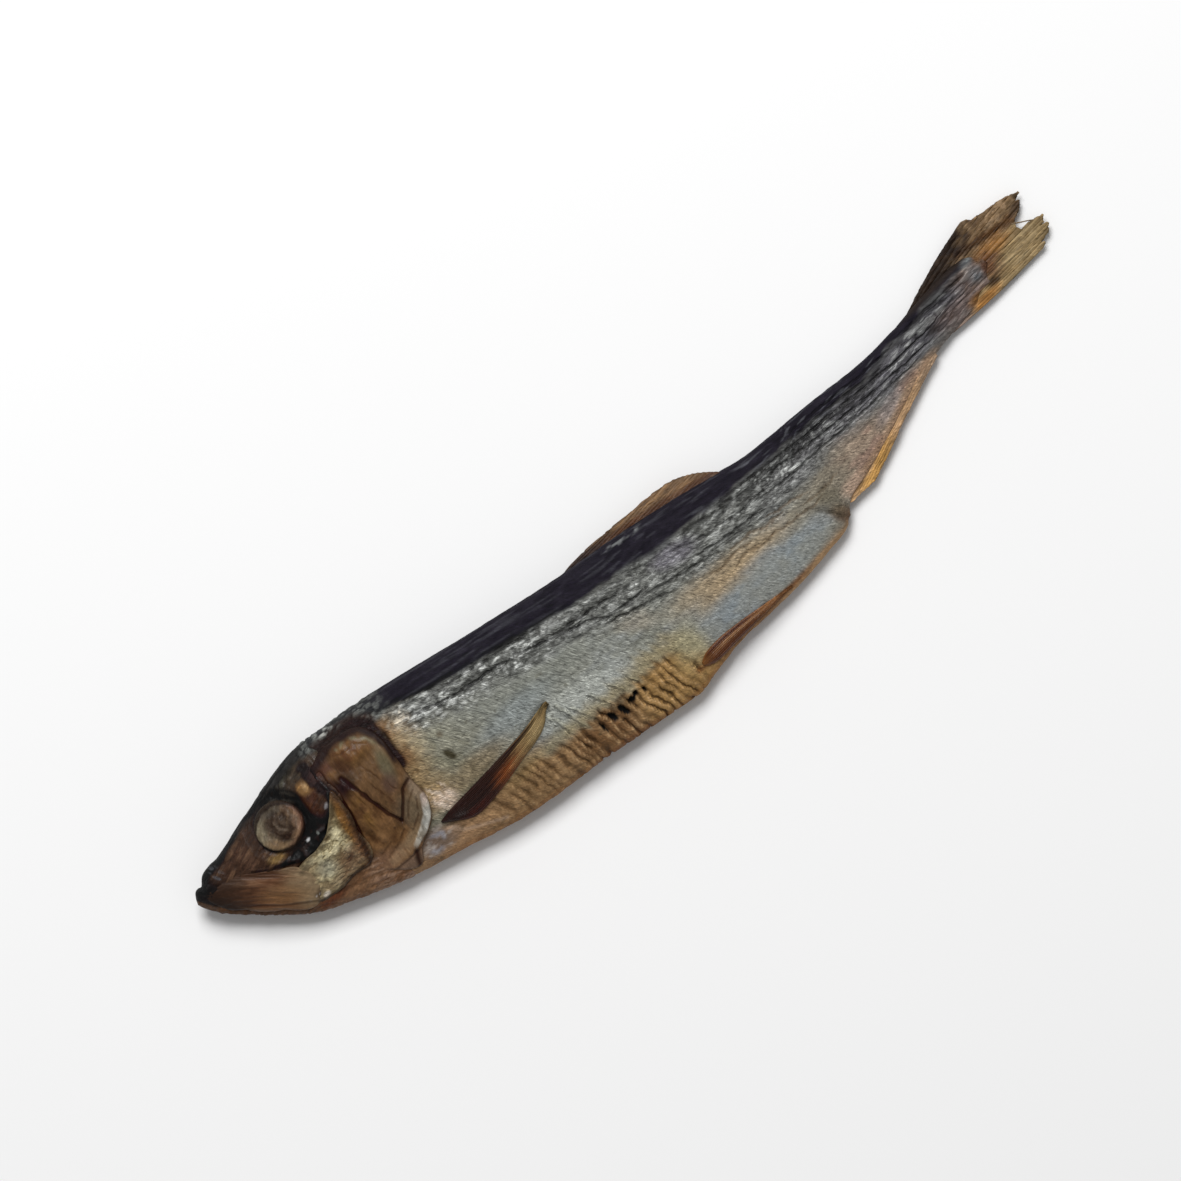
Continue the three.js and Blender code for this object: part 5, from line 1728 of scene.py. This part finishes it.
# Where the rays end, as (share of the way from the lower to the upper edge, x, y).
TAIL_TIPS = (
    (0, 236.2, -7.3), (0.06, 237.5, -6.7), (0.1, 236.9, -6), (0.16, 239.7, -5.2), (0.24, 240.8, -3.9),
    (0.3, 240, -2.7), (0.36, 241, -1.7), (0.42, 237.8, -1.1), (0.46, 235.3, -1.5), (0.5, 234.6, 0),
    (0.55, 235.4, 1.6), (0.62, 237.6, 2.6), (0.7, 239, 4), (0.76, 238.3, 4.9), (0.82, 240, 5.6),
    (0.88, 236.5, 6.7), (0.93, 230, 7.2), (0.96, 227.8, 7.5), (0.985, 227.1, 8.3), (1, 225.7, 8.6),
)
SPLITS = (0.085, 0.2, 0.275, 0.665, 0.735)  # between rays, at the tips
DARK_RAY = ((220, 3.6), (226, 2.8), (231, 2.4), (235, 1.8))
SPLIT_DEPTH, SPLIT_WIDTH = 2.2, 0.011


def tail_place(u, v):
    share, tip_x, tip_y = np.array(TAIL_TIPS, float).T
    split = sum(np.clip(1 - np.abs(v - at) / SPLIT_WIDTH, 0, 1) for at in SPLITS)
    end_x = np.interp(v, share, tip_x) - SPLIT_DEPTH * split
    end_y = np.interp(v, share, tip_y)
    root_y = TAIL_ROOT_LOWER + (TAIL_ROOT_UPPER - TAIL_ROOT_LOWER) * v
    bow = np.sin(math.pi * u) * (0.5 * smooth(v, 0.6, 1) - 0.55 * (1 - smooth(v, 0, 0.35)))
    x = TAIL_ROOT + (end_x - TAIL_ROOT) * u
    y = root_y + (end_y - root_y) * u + bow
    wave = 0.3 * grain(u * 2.5, v * 3, 0, seed=241) * u
    return np.column_stack((x, y, TAIL_HEIGHT + wave))


def tail_finish(u, v, x, y, z):
    ridge, number = rays(u, v, TAIL_RAYS, 242)
    tone = grain(number * 1.7, u * 4, 0, seed=243)
    fray = grain(number * 0.9, u * 9, 0, seed=244)
    blots = cloudy(x / 3, y / 1.4, 0, seed=245)
    look = Finish(len(u), (138, 118, 86), 0.55, 0.0, wrinkle=0.5, hatch=0.2)
    upper = smooth(v + 0.05 * blots, 0.5, 0.62)
    chips_and_glints = cloudy(x / 1.3, (y - 0.3 * x) / 0.8, 0, seed=246)
    look.wash(upper * 0.9, (116, 94, 70))
    look.wash(upper * smooth(0.4 * fray + chips_and_glints + 0.5 * blots, 0.1, 0.6) * 0.6, (160, 134, 106))
    look.wash(upper * smooth(-0.4 * fray - chips_and_glints - blots, 0.1, 0.7) * 0.5, (80, 60, 44))
    look.wash(smooth(fray + 0.5 * chips_and_glints, 0.2, 0.6) * (1 - upper) * 0.4, (162, 143, 110))
    look.wash(smooth(-fray - 0.5 * chips_and_glints, 0.2, 0.6) * (1 - upper) * 0.4, (98, 78, 52))
    look.wash(stroke(x, y + 0.4 * blots, DARK_RAY, 3.4) * 0.85, (66, 44, 28))
    look.wash(patch(x + blots, y, (227, -0.3), (5, 1.9), 6, 0.6) * 0.85, (136, 96, 53), gloss=0.6)
    look.wash(patch(x + blots, y, (224.4, -2.8), (2.6, 3.0), -10, 0.6) * 0.85, (84, 55, 40))
    look.wash(patch(x, y, (223, -6), (1.7, 0.9), 0, 0.6) * 0.85, (42, 29, 24))
    look.wash(patch(x, y, (219.5, -8), (4.4, 1.2), 3, 0.6) * 0.85, (142, 98, 50))
    look.wash((1 - smooth(v, 0.03, 0.12)) * smooth(x, 220, 226) * 0.5, (162, 140, 104))
    dark = smooth(v, 0.45, 0.62) * (1 - smooth(x + 3 * blots - 0.9 * (y - 2), 217, 225))
    look.wash(dark * 0.94, (40, 34, 32), gloss=0.5)
    look.wash((1 - smooth(x + blots, 213, 217.5)) * (1 - smooth(v, 0.2, 0.5)) * 0.9, (106, 92, 86))
    look.wash(patch(x, y, (237.4, 3.4), (2.6, 1.0), 20, 0.6) * 0.8, (54, 42, 34))
    look.wash(patch(x, y, (239, 5.4), (1.2, 0.6), -20, 0.6) * 0.8, (50, 44, 34))
    look.wash((1 - smooth(ridge, 0.05, 0.55)) * (0.55 - 0.3 * upper), (56, 42, 29))
    look.shade(1 + 0.18 * tone)
    look.relief += (0.22 * (ridge - 0.5) + 0.1 * tone) * smooth(u, 0.1, 0.5) + 0.12 * upper * chips_and_glints
    return look


tail_skin = dried("tail_skin", 1800, 0.45, along=(0.004, 0.0005, 4), across=(0.002, 0.0006, -30))
fin_blade("tail_fin", 120, 250, tail_place, tail_finish, tail_skin, TAIL_THICK, False)

# The loose ray, a thin rod whose ends lie in the two lobes.
LOOSE_RAY = ((234.2, 1.1, 2.2), (236, 0.1, 2.3), (237.4, -0.6, 2.3), (238.6, -1.3, 2.1))
LOOSE_ROOT, LOOSE_TIP = 0.17, 0.12  # radius
bm = bmesh.new()
bmesh.ops.create_cone(bm, cap_ends=True, segments=10, radius1=LOOSE_ROOT, radius2=LOOSE_TIP, depth=1)
lengthwise = [edge for edge in bm.edges if abs(edge.verts[0].co.z - edge.verts[1].co.z) > 0.5]
bmesh.ops.subdivide_edges(bm, edges=lengthwise, cuts=15)
loose = mesh_of(bm, "loose_ray")
rod = places_of(loose)
along = np.array(LOOSE_RAY)
share = rod[:, 2] + 0.5
middle = np.column_stack([np.interp(share, np.linspace(0, 1, len(along)), axis) for axis in along.T])
move_points(loose, middle + np.column_stack((rod[:, 1] * 0.5, rod[:, 1] * 0.87, rod[:, 0])))
loose_look = Finish(len(rod), (120, 104, 84), 0.4, 0.0)
loose_look.shade(1 + 0.2 * grain(share * 9, share * 0, 0, seed=250))
keep_finish(loose, loose_look)
show(loose, tail_skin)


# ---- the table, the light and the camera ----
# A pale table top, a large soft lamp to the upper left of the fish with a little light from all round, and a
# camera with a long lens straight above it.

TABLE_REACH = 1.5  # metres from its middle to its edges
TABLE_PALE = (0.92, 0.92, 0.92, 1)
bm = bmesh.new()
bmesh.ops.create_grid(bm, x_segments=1, y_segments=1, size=TABLE_REACH)
floor = in_scene("table", mesh_of(bm, "table"))
table_top = bpy.data.materials.new("table_top")
table_top.use_nodes = True
fitted(
    table_top.node_tree, table_top.node_tree.nodes["Principled BSDF"], Base_Color=TABLE_PALE, Roughness=0.6
)
floor.data.materials.append(table_top)

VIEW_TURN = math.radians(-39.67)  # the fish lies across the picture, snout low and tail high
VIEW_WIDTH = 260.3  # millimetres across the picture, at the fish
VIEW_MIDDLE = (110.9, -1.87, 6.0)
LENS, SENSOR = 200.0, 36.0
camera = bpy.data.cameras.new("camera")
camera.lens = LENS
camera.sensor_width = SENSOR
camera.clip_start = 0.01
eye_point = in_scene("camera", camera)
aim = Vector(into_frame(np.array(VIEW_MIDDLE)))
eye_point.location = aim + Vector((0, 0, VIEW_WIDTH * MM * LENS / SENSOR))
eye_point.rotation_euler = (0, 0, VIEW_TURN)
bpy.context.scene.camera = eye_point

LAMP_SIZE = 0.9
LAMP_WATTS = 33
LAMP_PLACE = (0.35, 1.05, 1.5)
SKY_LIGHT = 0.3
lamp_data = bpy.data.lights.new("lamp", "AREA")
lamp_data.size = LAMP_SIZE
lamp_data.energy = LAMP_WATTS
lamp = in_scene("lamp", lamp_data)
lamp.location = LAMP_PLACE
lamp.rotation_euler = (-lamp.location).to_track_quat("-Z", "Y").to_euler()

sky = bpy.data.worlds.new("studio")
bpy.context.scene.world = sky
sky.use_nodes = True
fitted(sky.node_tree, sky.node_tree.nodes["Background"], Color=(1, 1, 1, 1), Strength=SKY_LIGHT)
bpy.context.scene.view_settings.view_transform = "Standard"
